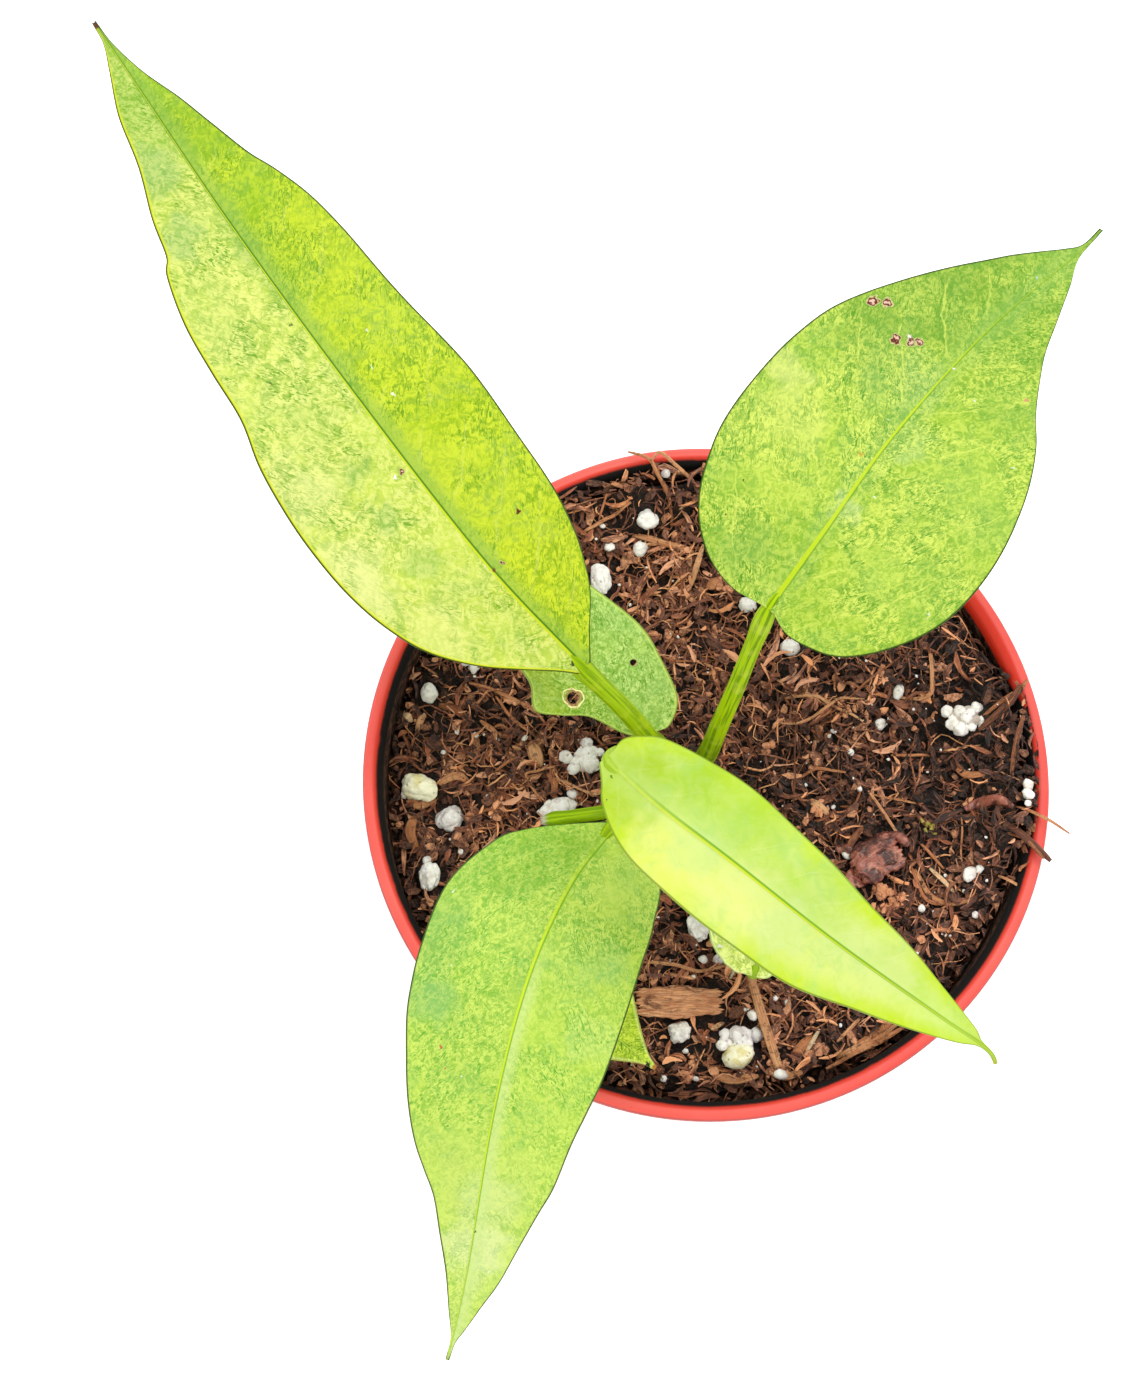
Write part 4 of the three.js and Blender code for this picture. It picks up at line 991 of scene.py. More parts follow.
def bark_sheet(length, width, height, seed, folds, roundness):
    """A torn slab: frayed at its ends, grooved along its length, and round and lobed if it is a chunk."""
    rows, columns = 90, 36
    a = np.linspace(-1, 1, rows)[:, None] + np.zeros((1, columns))
    b = np.linspace(-1, 1, columns)[None, :] + np.zeros((rows, 1))
    fray = 0.05 * np.sin(9 * b + seed) + 0.045 * np.sin(23 * b + 2 * seed) + 0.02 * np.sin(51 * b)
    lobes = (1 + roundness * (0.1 * np.sin(3 * np.arctan2(b, a) + seed)
        + 0.05 * np.sin(5 * np.arctan2(b, a))))
    outline = 1 - 0.16 * np.abs(a) ** 3 + 0.07 * np.sin(5 * a + seed) + 0.03 * np.sin(17 * a + seed * 3)
    x = a * length / 2 * (0.93 + fray) * np.sqrt(1 - roundness * b * b / 2) * lobes
    y = b * width / 2 * outline * (0.97 - 0.04 * np.sin(3 * a)) * np.sqrt(1 - roundness * a * a / 2) * lobes
    grooves = 0.13 * np.sin(13 * b + 2.2 * np.sin(1.6 * a + seed)) + 0.08 * np.sin(29 * b + 3
        * np.sin(2.3 * a))
    swells = 0.3 * np.sin(3.4 * a + 2.2 * b + seed) + 0.25 * np.sin(4.1 * b - 2.3 * a)
    relief = grooves * (1 - roundness) + swells * roundness
    crumple = folds * (0.5 * np.sin(2.6 * a + 1.9 * b + seed) + 0.4 * np.sin(3.1 * b - 1.3 * a))
    far = np.maximum(np.abs(a), np.abs(b))
    dome = 1 - 0.35 * far**8 - roundness * 0.6 * far**3
    top = np.stack([x, y, (height / 2 + relief) * dome + crumple], axis=-1)
    under = np.stack([x * 0.97, y * 0.95, -height / 2 * (1 - 0.35 * far**8) + crumple * 0.8], axis=-1)
    lay = np.stack([x, y, np.full_like(x, seed)], axis=-1).reshape(-1, 3)
    corners, faces = closed_sheet(top, under)
    return corners, faces, np.concatenate([lay, lay])


def make_bark(name, finish, seed, folds, roundness):
    (x, y), (length, width, height), turn, tilt = barks[name]
    corners, faces, lay = bark_sheet(length, width, height, seed, folds, roundness)
    matrix = np.array((Matrix.Rotation(turn, 3, "Z") @ Matrix.Rotation(tilt, 3, "Y")))
    corners = corners @ matrix.T + np.array([x, y, level_at(x, y) + height / 2 + 0.3])
    made = Shape().add(corners, faces, lay=lay).piece(f"pine_{name}", [finish])
    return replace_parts(made, name)


make_bark("bark_slab", split_bark(), 1.3, 0.12, 0.1)
dark_bark = glossy_bark()
make_bark("bark_chunk", dark_bark, 4.1, 0.6, 0.32)

# Each curl of dark bark, as its route over the mix, its width and how far above the mix it lies
bark_curls = [
    ([(40.3, -3.8), (42.4, -2.9), (45.0, -3.2), (46.8, -4.6)], 1.7, 0.7),
    ([(20.4, -9.6), (21.6, -9.9), (22.8, -10.2)], 1.7, 1.0),
    ([(21.6, -15.2), (23.8, -14.2), (26.2, -12.4)], 3.4, 1.1),
    ([(27.4, -8.4), (29.6, -8.2), (31.4, -9.6)], 1.8, 1.6),
]


def make_bark_curls():
    curls = Shape()
    for route, width, lift in bark_curls:
        points = catmull(route, np.linspace(0, 1, 9))
        level = mix_at(points[:, 0], points[:, 1]) + lift
        corners, faces, _ = ribbon(np.column_stack([points, level]), width, 0.9, 30, 14, 0.2)
        curls.add(corners, faces)
    return curls.piece("bark_curls", [dark_bark])


make_bark_curls()

# Perlite is volcanic glass puffed by heat into light white lumps. Fourteen large lumps lie where
# the photo shows them, with blistered, pitted skins, and small grains are strewn between them.


def puffed_glass(name, white, shade, stain):
    """Matt white foam with a few small pits, faint hollows in painted shade, and creases darkened with
    painted shade and mix rubbed into them.
    """
    finish = Finish(name)
    place = finish.place()
    pit = finish.cells(place, 0.9)
    foam = finish.speckle(place, 2.6, 4.0, 0.65)
    cloud = finish.speckle(place, 0.5, 3.0, 0.6, 0.5)
    # Painted shade: clouds of the shade colour stand for faint hollows.
    colour = finish.blend(cloud.ramp(0.46, 0.66), white, shade)
    colour = finish.blend((1 - pit.ramp(0.07, 0.16)) * 0.7, colour, stain)
    # Creases take the stain colour, as painted shade and rubbed-in mix.
    colour = finish.blend(finish.fact("crease") * 0.9, colour, stain)
    rubbed = finish.speckle(place, 1.1, 4.0, 0.7, 0.5).ramp(0.5, 0.66)
    colour = finish.blend(rubbed * finish.fact("tone"), colour, stain)
    bumps = finish.relief(foam + pit.ramp(0.05, 0.3), 0.22, 0.7)
    return finish.dress({"Base Color": colour, "Roughness": 0.7 + 0.2 * cloud, "Normal": bumps})


white_perlite = puffed_glass("white_perlite", ink(298, 294, 286), ink(268, 258, 246), ink(176, 136, 106))
cream_perlite = puffed_glass("cream_perlite", ink(306, 300, 262), ink(278, 262, 190), ink(180, 150, 90))
grey_perlite = puffed_glass("grey_perlite", ink(290, 284, 280), ink(236, 222, 216), ink(130, 100, 84))


def ball(level):
    """Corners and triangles of a round ball, cut finer at each level."""
    corners = [Vector(corner) for corner in crumb_corners]
    faces = list(crumb_faces)
    for _ in range(level):
        middles = {}
        finer = []
        for a, b, c in faces:
            edge = []
            for pair in ((a, b), (b, c), (c, a)):
                key = tuple(sorted(pair))
                if key not in middles:
                    middles[key] = len(corners)
                    corners.append(((corners[key[0]] + corners[key[1]]) / 2).normalized())
                edge.append(middles[key])
            ab, bc, ca = edge
            finer += [(a, ab, ca), (b, bc, ab), (c, ca, bc), (ab, bc, ca)]
        faces = finer
    return corners, np.array(faces)


fine_ball, fine_ball_faces = ball(4)
small_ball, small_ball_faces = ball(3)
coarse_faces = ball(2)[1]


def blistered(corners, seed, puffs):
    """Each corner of a ball moved by swells, dents and puffs, and how deep it lies in a crease."""
    moved = []
    creases = []
    start = Vector((seed * 3.7, seed * 1.9, seed * 0.7))
    for corner in corners:
        swell = 0.22 * noise.noise(corner * 1.3 + start) + 0.06 * noise.noise(corner * 3.6 + start)
        near = noise.voronoi(corner * (1.3 + puffs) + start)[0]
        puff = near[1] - near[0]
        moved.append(corner * (0.95 + swell + puffs * (min(puff, 0.5) - 0.3)))
        creases.append(max(0.0, 1 - puff / 0.09) * puffs)
    return np.array(moved), np.array(creases)


# How strongly each marked lump is puffed, how many globules it has, and its coat, by its place in the list
puffed_most = {6: 0.2, 8: 0.3, 9: 0.35, 10: 0.2, 11: 0.3, 12: 0.3}
globules = {6: 17, 10: 12, 11: 6, 12: 5}
lump_coats = {2: cream_perlite, 3: grey_perlite, 10: grey_perlite}
lump_stains = {2: 0.12, 3: 0.2, 4: 0.2, 11: 0.4, 12: 0.3}


def globule(dice, size):
    """One small ball, at any place on the upper side of a lump of this size."""
    heading, height = dice.rand() * 2 * math.pi, dice.rand()
    out = math.sqrt(1 - height * height) * (0.4 + 0.55 * dice.rand() ** 0.5)
    middle = np.array([math.cos(heading) * out, math.sin(heading) * out,
        height * 0.7]) * (np.array(size) / 2 - 0.3)
    corners, crease = blistered(small_ball[:162], dice.rand() * 90, 0.12)
    # The low side of each globule counts as crease: painted shade and rubbed-in mix under it.
    low_crease = np.clip(0.25 - corners[:, 2] * 1.4, 0, 1)
    return corners * (0.65 + 0.75 * dice.rand() ** 1.5) + middle, np.maximum(crease, low_crease)


def make_lumps():
    dice = np.random.RandomState(57)
    for i, (x, y, size, turn) in enumerate(perlite):
        large = size[0] * size[1] > 14
        base, faces = (fine_ball, fine_ball_faces) if large else (small_ball, small_ball_faces)
        corners, crease = blistered(base, i + 1.0, puffed_most.get(i, 0.14))
        clustered = globules.get(i, 0) > 10
        corners = corners * (np.array(size) / 2) * (0.7 if clustered else 1)
        # A clustered lump's core, between its globules, is darkened as a crease: painted shade and
        # rubbed-in mix.
        bodies = [(corners, faces, np.maximum(crease, 0.6) if clustered else crease)]
        for _ in range(globules.get(i, 0)):
            corners, crease = globule(dice, size)
            bodies.append((corners, coarse_faces, crease))
        matrix = np.array(Matrix.Rotation(turn, 3, "Z"))
        lump = Shape()
        for corners, faces, crease in bodies:
            corners = corners @ matrix.T + np.array([x, y, mix_at(x, y) + size[2] * 0.22])
            low = np.clip((mix_at(x, y) + 0.5 - corners[:, 2]) / 1.8 + lump_stains.get(i, 0.0), 0.0, 0.8)
            lump.add(corners, faces, tone=low, crease=crease)
        made = lump.piece(f"perlite_lump_{i + 1:02d}", [lump_coats.get(i, white_perlite)])
        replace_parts(made, f"perlite_{i + 1:02d}")


make_lumps()

# Grains that stand out, as x, y and size, then those too small to place one by one
marked_grains = [
    (30.5, 14.9, 1.9), (27.6, 9.8, 1.9), (22.9, 5.4, 1.3), (20.3, 8.7, 0.8), (15.8, 0.3, 0.8),
    (24.1, -0.6, 0.8),
    (20.1, -3.1, 0.8), (21.9, -10.7, 1.5), (32.6, 11.8, 0.5), (50.2, -1.2, 1.9), (50.0, -2.8, 1.9),
    (40.4, -14.4, 2.1), (42.0, -13.4, 1.5), (41.3, -20.4, 1.1), (33.3, -19.2, 1.3), (39.7, -16.7, 0.7),
    (-14.4, 38.1, 1.6), (-9.6, 38.0, 2.4), (-5.8, 49.3, 1.4), (-15.6, 41.2, 0.8), (-46.8, -1.1, 1.3),
    (-42.9, -1.5, 1.4), (-37.5, -10.1, 0.9), (-18.1, 6.9, 1.9), (-21.3, 4.6, 2.2), (-20.1, 2.6, 2.0),
    (-16.1, 5.4, 1.4), (-17.1, 3.9, 1.8), (-20.3, -1.1, 1.8), (-17.9, -4.5, 1.6), (-35.3, 8.6, 0.9),
    (-38.2, 8.6, 0.8), (-27.7, 7.8, 0.9), (-40.3, 5.5, 0.8), (-33.4, -1.3, 0.7), (-42.6, -11.3, 1.6),
    (-35.6, 19.0, 1.9), (-37.0, 19.4, 1.3), (7.8, -38.4, 2.4), (4.8, -41.9, 4.4), (2.4, -40.3, 2.0),
    (7.2, -35.7, 1.8), (-0.2, -26.8, 1.4), (2.4, -26.7, 2.1), (12.5, -33.6, 1.0), (10.7, -33.0, 0.9),
    (-1.6, -29.4, 0.7), (11.3, -44.6, 1.9), (-1.5, -45.0, 0.9), (-6.4, -45.2, 1.0), (-3.0, -40.9, 0.8),
    (19.7, 8.0, 0.7), (49.4, -4.2, 1.1), (17.9, -5.8, 0.8), (9.0, 33.0, 1.2), (12.0, 30.0, 0.8),
]


def make_grains():
    dice = np.random.RandomState(7)
    corners, faces = ball(1)
    base = np.array(corners)
    x, y = strewn(dice, 260, 0.4, 2.5)
    tiny = [(a, b, 0.22 + 0.4 * dice.rand() ** 2) for a, b in zip(x, y)]
    grains = Shape()
    for i, (a, b, size) in enumerate(marked_grains + tiny):
        radius = math.hypot(a, b)
        furthest = 46.3 + 0.8 * min(heaped(a, b), 3.6)
        if radius > furthest:
            a, b = a * furthest / radius, b * furthest / radius
        dents = 0.85 + 0.3 * dice.rand(len(base), 1)
        stretch = np.array([1.0 + 0.35 * dice.rand(), 0.85 + 0.2 * dice.rand(), 0.75])
        turned_base = (base * dents * stretch * size / 2) @ turns(dice, 1, 0.6)[0].T
        level = mix_at(a, b) + 0.35 + 0.12 * size + (0.35 if size > 1.0 else 0.0)
        coat = 2 if size > 3.0 else 1 if i % 5 == 3 else 0
        grains.add(turned_base + np.array([a, b, level]), faces, coat, tone=0.25, crease=0.0)
    return grains.piece("perlite_grains", [white_perlite, grey_perlite, cream_perlite])


make_grains()

# The stem is a short green crown, ringed by the scars of old leaves and wrapped at its foot in dry
# brown sheaths. It stands in a hole in the mix, and every leaf stalk springs from it.

stem_radius = 3.4
stem_foot = 66.0
stem_top = 91.0


def stem_skin():
    finish = Finish("stem_skin")
    place = finish.place()
    _, _, height = finish.split(place)
    cork = finish.speckle(place, 0.7, 4.0, 0.65)
    rings = finish.speckle(finish.vector(0.0, 0.0, height), 0.9, 2.0)
    colour = finish.blend(height.ramp(81.0, 90.0), ink(122, 98, 58), ink(134, 168, 52))
    colour = finish.blend(cork.ramp(0.48, 0.66) * 0.6, colour, ink(98, 72, 46))
    colour = finish.blend(rings.ramp(0.58, 0.66) * 0.5, colour, ink(186, 176, 104))
    return finish.dress({"Base Color": colour, "Roughness": 0.55 + 0.2 * cork,
        "Normal": finish.relief(cork + rings, 0.4, 0.7)})


def dry_sheath():
    finish = Finish("dry_sheath")
    along, aside, seed = finish.split(finish.fact("lay", "Vector"))
    fibre = finish.speckle(finish.vector(along * 0.3, aside * 3.0, seed), 1.0, 4.0, 0.7)
    colour = finish.blend(fibre, ink(112, 70, 40), ink(206, 160, 106))
    return finish.dress({"Base Color": colour, "Roughness": 0.6 + 0.2 * fibre,
        "Normal": finish.relief(fibre, 0.3, 0.8)})


def make_stem():
    heights = np.linspace(stem_foot, stem_top - 1.6, 60)
    swell = 0.1 * np.sin(heights * 1.9) + 0.07 * np.sin(heights * 3.7)
    profile = [(0.05, stem_foot)] + [(stem_radius - 0.18 + s, h) for s, h in zip(swell, heights)]
    profile += [(stem_radius - 0.6, stem_top - 1.1), (stem_radius - 1.3, stem_top - 0.5)]
    profile += [(stem_radius - 2.2, stem_top - 0.1), (0.05, stem_top)]
    corners = turned(profile, 48)
    corners[..., :2] += stem_place
    rows = len(profile)
    caps = [np.arange(48)[None, ::-1], (np.arange(48) + (rows - 1) * 48)[None, :]]
    crown = Shape().add(corners, [ring_faces(rows, 48), *caps])
    for heading, foot, tall, seed in ((0.6, 80.2, 6.2, 1.0), (2.7, 80.6, 5.0, 2.0), (4.6, 79.8, 6.8, 3.0)):
        rise = np.linspace(0, 1, 16)[:, None]
        spread = np.linspace(-1, 1, 14)[None, :]
        angle = heading + spread * (1.0 - 0.85 * rise**2)
        radius = stem_radius + 0.12 + 0.9 * rise**2.2 + 0.1 * np.sin(6 * spread + seed)
        height = foot + tall * rise + 0.3 * np.sin(5 * spread + seed) * rise
        x = stem_place[0] + radius * np.cos(angle)
        y = stem_place[1] + radius * np.sin(angle)
        outer = np.stack([x, y, height + 0 * angle], axis=-1)
        inward = np.stack([np.cos(angle), np.sin(angle), 0 * angle], axis=-1) * 0.22
        lay = np.stack([tall * rise + 0 * angle, radius * angle, seed + 0 * angle], axis=-1).reshape(-1, 3)
        body, faces = closed_sheet(outer, outer - inward)
        crown.add(body, faces, 1, lay=np.concatenate([lay, lay]))
    made = crown.piece("crown_stem", [stem_skin(), dry_sheath()])
    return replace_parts(made, "stem")


make_stem()

# The upper left leaf is the longest: a lance with a fold along its midrib, pale lime on its left
# half and deeper green on its right, a difference painted as light and shade across the fold. A leaf
# grows in one piece with its channelled stalk.

blade_thickness = 0.6


def grown_midrib(points):
    """A function that gives places and directions by distance along the midrib, and its length."""
    share = np.linspace(0, 1, 801)
    places = catmull(points, share)
    reach = np.concatenate([[0], np.cumsum(np.linalg.norm(np.diff(places, axis=0), axis=1))])
    ahead = np.gradient(places, axis=0)
    ahead /= np.linalg.norm(ahead, axis=-1, keepdims=True)

    def at(distance):
        clipped = np.clip(distance, 0, reach[-1])
        place = np.stack([np.interp(clipped, reach, places[:, i]) for i in range(3)], axis=-1)
        along = np.stack([np.interp(clipped, reach, ahead[:, i]) for i in range(3)], axis=-1)
        return place, along / np.linalg.norm(along, axis=-1, keepdims=True), distance - clipped

    return at, reach[-1]


def blade_place(leaf, u, v, edge, depth):
    """Places on the bent blade, u along the midrib and v to its left, with depth below its face."""
    at, _ = grown_midrib(leaf["midrib"])
    place, along, beyond = at(u)
    left = np.cross([0.0, 0.0, 1.0], along)
    left /= np.linalg.norm(left, axis=-1, keepdims=True)
    up = np.cross(along, left)
    wave_height, wave_length = leaf["wave"]
    side = np.where(v > 0, 0, 1.7)
    rise = leaf["fold"] * (np.hypot(v, 0.6) - 0.6) - leaf["curl"] * v * v
    rise = rise + wave_height * edge**2 * np.sin(u / wave_length * 2 * np.pi + side)
    start = u - leaf["lean"] * np.abs(v) - leaf["bend"] * v * v
    quilt = np.cos(start / leaf["vein_gap"] * 2 * np.pi) * np.clip(np.abs(v) / 3, 0, 1) * (1 - edge**4)
    rise = rise + leaf["quilt"] * quilt
    taper = np.clip(1 - u / leaf["left"][-1][0], 0, 1)
    rise = rise + leaf["rib_lift"] * taper**0.5 * np.exp(-((v / 0.45) ** 2))
    rise = rise + leaf.get("crumple", 0.0) * np.sin(1.9 * u + 1.3 * v) * np.sin(1.7 * v - 0.8 * u + 1)
    return place + along * beyond[..., None] + left * v[..., None] + up * (rise - depth)[..., None]


def blade_grid(leaf, rows, columns):
    """Flat places u and v of the blade's grid, the share across it and the distance to its margin."""
    t = np.linspace(0, 1, rows + 1)
    rib = leaf["left"][-1][0] * t**1.15
    half = np.append(np.linspace(0, 0.985, columns), 1.0)
    across = np.concatenate([-half[:0:-1], half])
    edge = np.abs(across) ** 1.35
    sides = {1: catmull(leaf["left"], t), -1: catmull(leaf["right"], t)}
    margin = np.stack([sides[1] if c > 0 else sides[-1] for c in across], axis=1)
    u = rib[:, None] + (margin[..., 0] - rib[:, None]) * edge
    v = margin[..., 1] * edge * np.sign(across)
    inset = np.hypot(margin[..., 0] - rib[:, None], margin[..., 1]) * (1 - edge)
    return u, v, edge + 0 * u, inset, t[:, None] + 0 * u


def blade_body(leaf, rows=130, columns=26):
    """The blade as a thin closed body, with its holes, and what each corner knows of its place."""
    u, v, edge, inset, t = blade_grid(leaf, rows, columns)
    gone = np.zeros((rows, 2 * columns), bool)
    for hole_u, hole_v, radius_u, radius_v in leaf.get("holes", []):
        middle_u = (u[:-1, :-1] + u[1:, 1:]) / 2
        middle_v = (v[:-1, :-1] + v[1:, 1:]) / 2
        inside = np.hypot((middle_u - hole_u) / radius_u, (middle_v - hole_v) / radius_v) < 1
        near = np.zeros(u.shape, bool)
        for i, j in ((0, 0), (1, 0), (0, 1), (1, 1)):
            near[i:rows + i, j:2 * columns + j] |= inside
        within = np.zeros(u.shape, int)
        for i, j in ((0, 0), (1, 0), (0, 1), (1, 1)):
            within[i:rows + i, j:2 * columns + j] += inside
        brim = near & (within < 4)
        reach = np.hypot((u - hole_u) / radius_u, (v - hole_v) / radius_v)
        u[brim] = hole_u + (u[brim] - hole_u) / reach[brim]
        v[brim] = hole_v + (v[brim] - hole_v) / reach[brim]
        gone |= inside
    swell = 0.9 * (1 - t) * np.exp(-((v / 1.2) ** 2))
    thin = 0.42 + swell
    rounding = 0.05 * (edge > 0.99)
    top = blade_place(leaf, u, v, edge, rounding)
    under = blade_place(leaf, u, v, edge, thin - rounding)
    corners, faces = closed_sheet(top, under)
    keep = ~gone.ravel()
    faces = [faces[0][keep], faces[1][keep], faces[2]]
    walls = []
    number = np.arange(top.shape[0] * top.shape[1]).reshape(top.shape[:2])
    shift = number.size
    for row, column in zip(*np.nonzero(gone)):
        cell = [(0, 0), (1, 0), (1, 1), (0, 1)]
        beside = [(0, -1), (1, 0), (0, 1), (-1, 0)]
        for k, (di, dj) in enumerate(beside):
            if not gone[row + di, column + dj]:
                a = number[row + cell[k][0], column + cell[k][1]]
                b = number[row + cell[(k + 1) % 4][0], column + cell[(k + 1) % 4][1]]
                walls.append((b, a, a + shift, b + shift))
    if walls:
        faces.append(np.array(walls))
    lay = np.stack([u, v, leaf["seed"] + 0 * u], axis=-1).reshape(-1, 3)
    facts = {
        "lay": np.concatenate([lay, lay]),
        "inset": np.tile(inset.ravel(), 2),
        "under": np.concatenate([np.zeros(u.size), np.ones(u.size)]),
        "share": np.tile(np.clip(u / leaf["left"][-1][0], 0, 1).ravel(), 2),
    }
    return corners, faces, facts


def stalk_body(route, foot, top, upward, channel, end_taper, rings=90, sides=28):
    """A leaf stalk: a tube with a shallow channel along its upper side, swollen at both ends."""
    share = np.linspace(0, 1, rings)
    at, length = grown_midrib(route)
    places, _, _ = at(share * length)
    _, left, up = frames(places, upward)
    angles = np.arange(sides) / sides * 2 * np.pi
    radius = foot + (top - foot) * np.minimum(1, share * 1.4)
    radius = radius * (1 + 0.14 * np.exp(-((share - 0.88) / 0.05) ** 2))
    radius = radius * (1 - end_taper * np.clip((share - 0.9) / 0.1, 0, 1) ** 1.5)
    groove = 1 - channel * np.exp(-((angles - np.pi / 2) / 0.42) ** 2)
    ribs = 1 + 0.025 * np.cos(9 * angles)
    section = (groove * ribs)[None, :, None] * radius[:, None, None]
    across = (left[:, None, :] * np.cos(angles)[None, :, None]
        + up[:, None, :] * np.sin(angles)[None, :, None])
    corners = places[:, None, :] + across * section
    ends = [np.arange(sides)[None, ::-1], (np.arange(sides) + (rings - 1) * sides)[None, :]]
    lay = np.stack([share[:, None] * length + 0 * angles, 0 * share[:, None] + angles,
        0 * share[:, None] + 0 * angles], axis=-1)
    return corners, [ring_faces(rings, sides), *ends], lay.reshape(-1, 3)


def leaf_skin(name, leaf, look):
    """The blade's skin: two halves, on some leaves differing by painted light and shade, clouds, felt-like
    mottling, curls, veins, a band of painted sheen and shade beside the midrib, midrib, margins, marks,
    some of them painted glints.
    """
    finish = Finish(name)
    lay = finish.fact("lay", "Vector")
    along, aside, _ = finish.split(lay)
    off = abs(aside)
    left = aside.ramp(-0.04, 0.04)
    inset = finish.fact("inset")
    share = finish.fact("share")
    start = along - off * leaf["lean"] - off * off * leaf["bend"]
    swept = finish.vector(start, off * look["stretch"], left * 40.0 + leaf["seed"])
    haze = finish.speckle(lay, 0.09, 3.0, 0.6, 0.6)
    blotch = finish.speckle(lay, look["blotch_scale"], 4.0, 0.62, 1.0)
    felt = finish.speckle(lay, look["felt_scale"], 3.0, 0.65, 1.6)
    curl = finish.speckle(lay, look["curl_scale"], 2.0, 0.5, 2.6)
    dash = finish.speckle(swept, look["dash_scale"], 1.5, 0.6, 2.6)
    tipness = share.ramp(*look["tip_from"])
    # The two halves take their own colours; on some leaves their difference is painted light and shade
    # across the fold, the half turned to the lamp paler.
    colour = finish.blend(left, look["right"], look["left"])
    colour = finish.blend(haze.ramp(0.42, 0.6) * look["haze"], colour, look["lime"])
    colour = finish.blend(tipness, colour, look["tip"])
    reach = inset.ramp(*look["margin_reach"])
    colour = finish.blend((1 - reach) * look["margin"], colour, look["margin_colour"])
    drift = finish.node("ShaderNodeTexNoise", {}, {"Vector": lay, "Scale": 0.3, "Detail": 3.0}, "Color")
    pushed = {0: drift, 1: (8.0, 8.0, 0.0), 2: lay}
    drifted = finish.node("ShaderNodeVectorMath", {"operation": "MULTIPLY_ADD"}, pushed)
    clouds = []
    for cloud_u, cloud_v, size, amount, tint in look["clouds"]:
        heart = (cloud_u + 4.0, cloud_v + 4.0, leaf["seed"])
        apart = finish.node("ShaderNodeVectorMath", {"operation": "DISTANCE"}, {0: drifted, 1: heart},
            "Value")
        clouds.append(((1 - apart.ramp(size * 0.4, size * 1.3)) * amount, tint))
    for cover, tint in clouds:
        colour = finish.blend(cover, colour, tint)
    patterned = colour
    pale = finish.blend(left, look.get("pale_right", look["pale"]), look["pale"])
    deep = finish.blend(left, look.get("deep_right", look["deep"]), look["deep"])
    right_gain = look.get("right_gain", 1.0)
    busy = 0.5 + 0.95 * finish.speckle(drifted, 0.16, 2.0).ramp(0.4, 0.6)
    busy = busy * (right_gain + left * (1 - right_gain))
    soft = felt.ramp(0.37, 0.62)
    blue = blotch.ramp(0.44, 0.62) * look["blotch"] * (0.85 - 0.5 * soft)
    colour = finish.blend(blue, colour, look["grey"])
    colour = finish.blend(soft * look["felt"], colour, pale)
    colour = finish.blend((1 - soft) * busy * look["felt_dark"], colour, deep)
    curls = 1 - abs(curl - 0.5).ramp(0.0, look["curl_width"])
    kinks = 1 - abs(dash - 0.5).ramp(0.0, look["curl_width"])
    scribble = curls.maths("MAXIMUM", curls, kinks) * (0.35 + 0.65 * soft)
    colour = finish.blend(scribble * busy * look["curl"], colour, pale)
    dashed = dash.ramp(0.54, 0.63) * (0.2 + 0.8 * blotch.ramp(0.4, 0.58)) * look["dash"]
    colour = finish.blend(dashed * busy, colour, deep)
    colour = finish.blend(tipness * look["tip_calm"], colour, patterned)
    for cover, tint in clouds:
        colour = finish.blend(cover * 0.22, colour, tint)
    if look["net"]:
        crooked = finish.vector(along + (felt - 0.5) * 2.0, aside + (curl - 0.5) * 2.0, leaf["seed"])
        mesh = finish.cells(crooked, look["net_scale"], "DISTANCE_TO_EDGE")
        colour = finish.blend((1 - mesh.ramp(0.02, 0.12)) * look["net"], colour, look["net_colour"])
    beat = start / leaf["vein_gap"] + (blotch - 0.5) * 0.6
    beat = beat.maths("FRACT", beat)
    vein = 1 - (abs(beat - 0.5) * leaf["vein_gap"]).ramp(0.05, 0.34)
    vein = vein * off.ramp(0.4, 2.5) * inset.ramp(0.4, 3.0) * haze.ramp(0.36, 0.56)
    colour = finish.blend(vein * look["vein"], colour, look["pale"])
    # A band beside the midrib: painted sheen where it is paler than the blade, painted shade where the
    # fold's valley darkens it.
    beside_right, beside_left = look["beside"]
    beside = (1 - off.ramp(0.6,
        look["beside_reach"])) * (beside_right + left * (beside_left - beside_right))
    beside = beside * share.ramp(*look["beside_from"])
    colour = finish.blend(beside * (0.2 + 1.4 * felt), colour, look["beside_colour"])
    rib_half = (1.02 - share) * (1.02 - share) * look["rib"] + 0.05
    rib = (1 - (off / rib_half).ramp(0.6, 1.0)) * (1 - share.ramp(0.4, 0.8) * look["rib_fade"])
    gap = (aside * look["shadow_side"] - rib_half) / look["shadow_width"]
    shadow = (1 - abs(gap).ramp(0.35, 1.0)) * (1 - share.ramp(0.6,
        1.1) * 0.6) * share.ramp(*look["shadow_from"])
    colour = finish.blend(shadow * look["shadow"], colour, look["shadow_colour"])
    colour = finish.blend(rib * look["rib_share"] * share.ramp(*look["rib_from"]), colour,
        look["rib_colour"])
    band_right, band_left = look["band_share"]
    band = (1 - inset.ramp(0.3, 0.65)) * (band_right + left * (band_left - band_right))
    colour = finish.blend(band, colour, look["band"])
    line = (1 - inset.ramp(0.14, 0.32)) * look["line"]
    colour = finish.blend(line, colour, look["line_colour"])
    wander = finish.node("ShaderNodeTexNoise", {}, {"Vector": lay, "Scale": 1.3, "Detail": 3.0}, "Color")
    warp = {0: wander, 1: (1.8, 1.8, 0.0), 2: lay}
    warped = finish.node("ShaderNodeVectorMath", {"operation": "MULTIPLY_ADD"}, warp)
    for spot_u, spot_v, size, tint in look["marks"]:
        heart = (spot_u + 0.9, spot_v + 0.9, leaf["seed"])
        apart = finish.node("ShaderNodeVectorMath", {"operation": "DISTANCE"}, {0: warped, 1: heart},
            "Value")
        if tint == "scar":
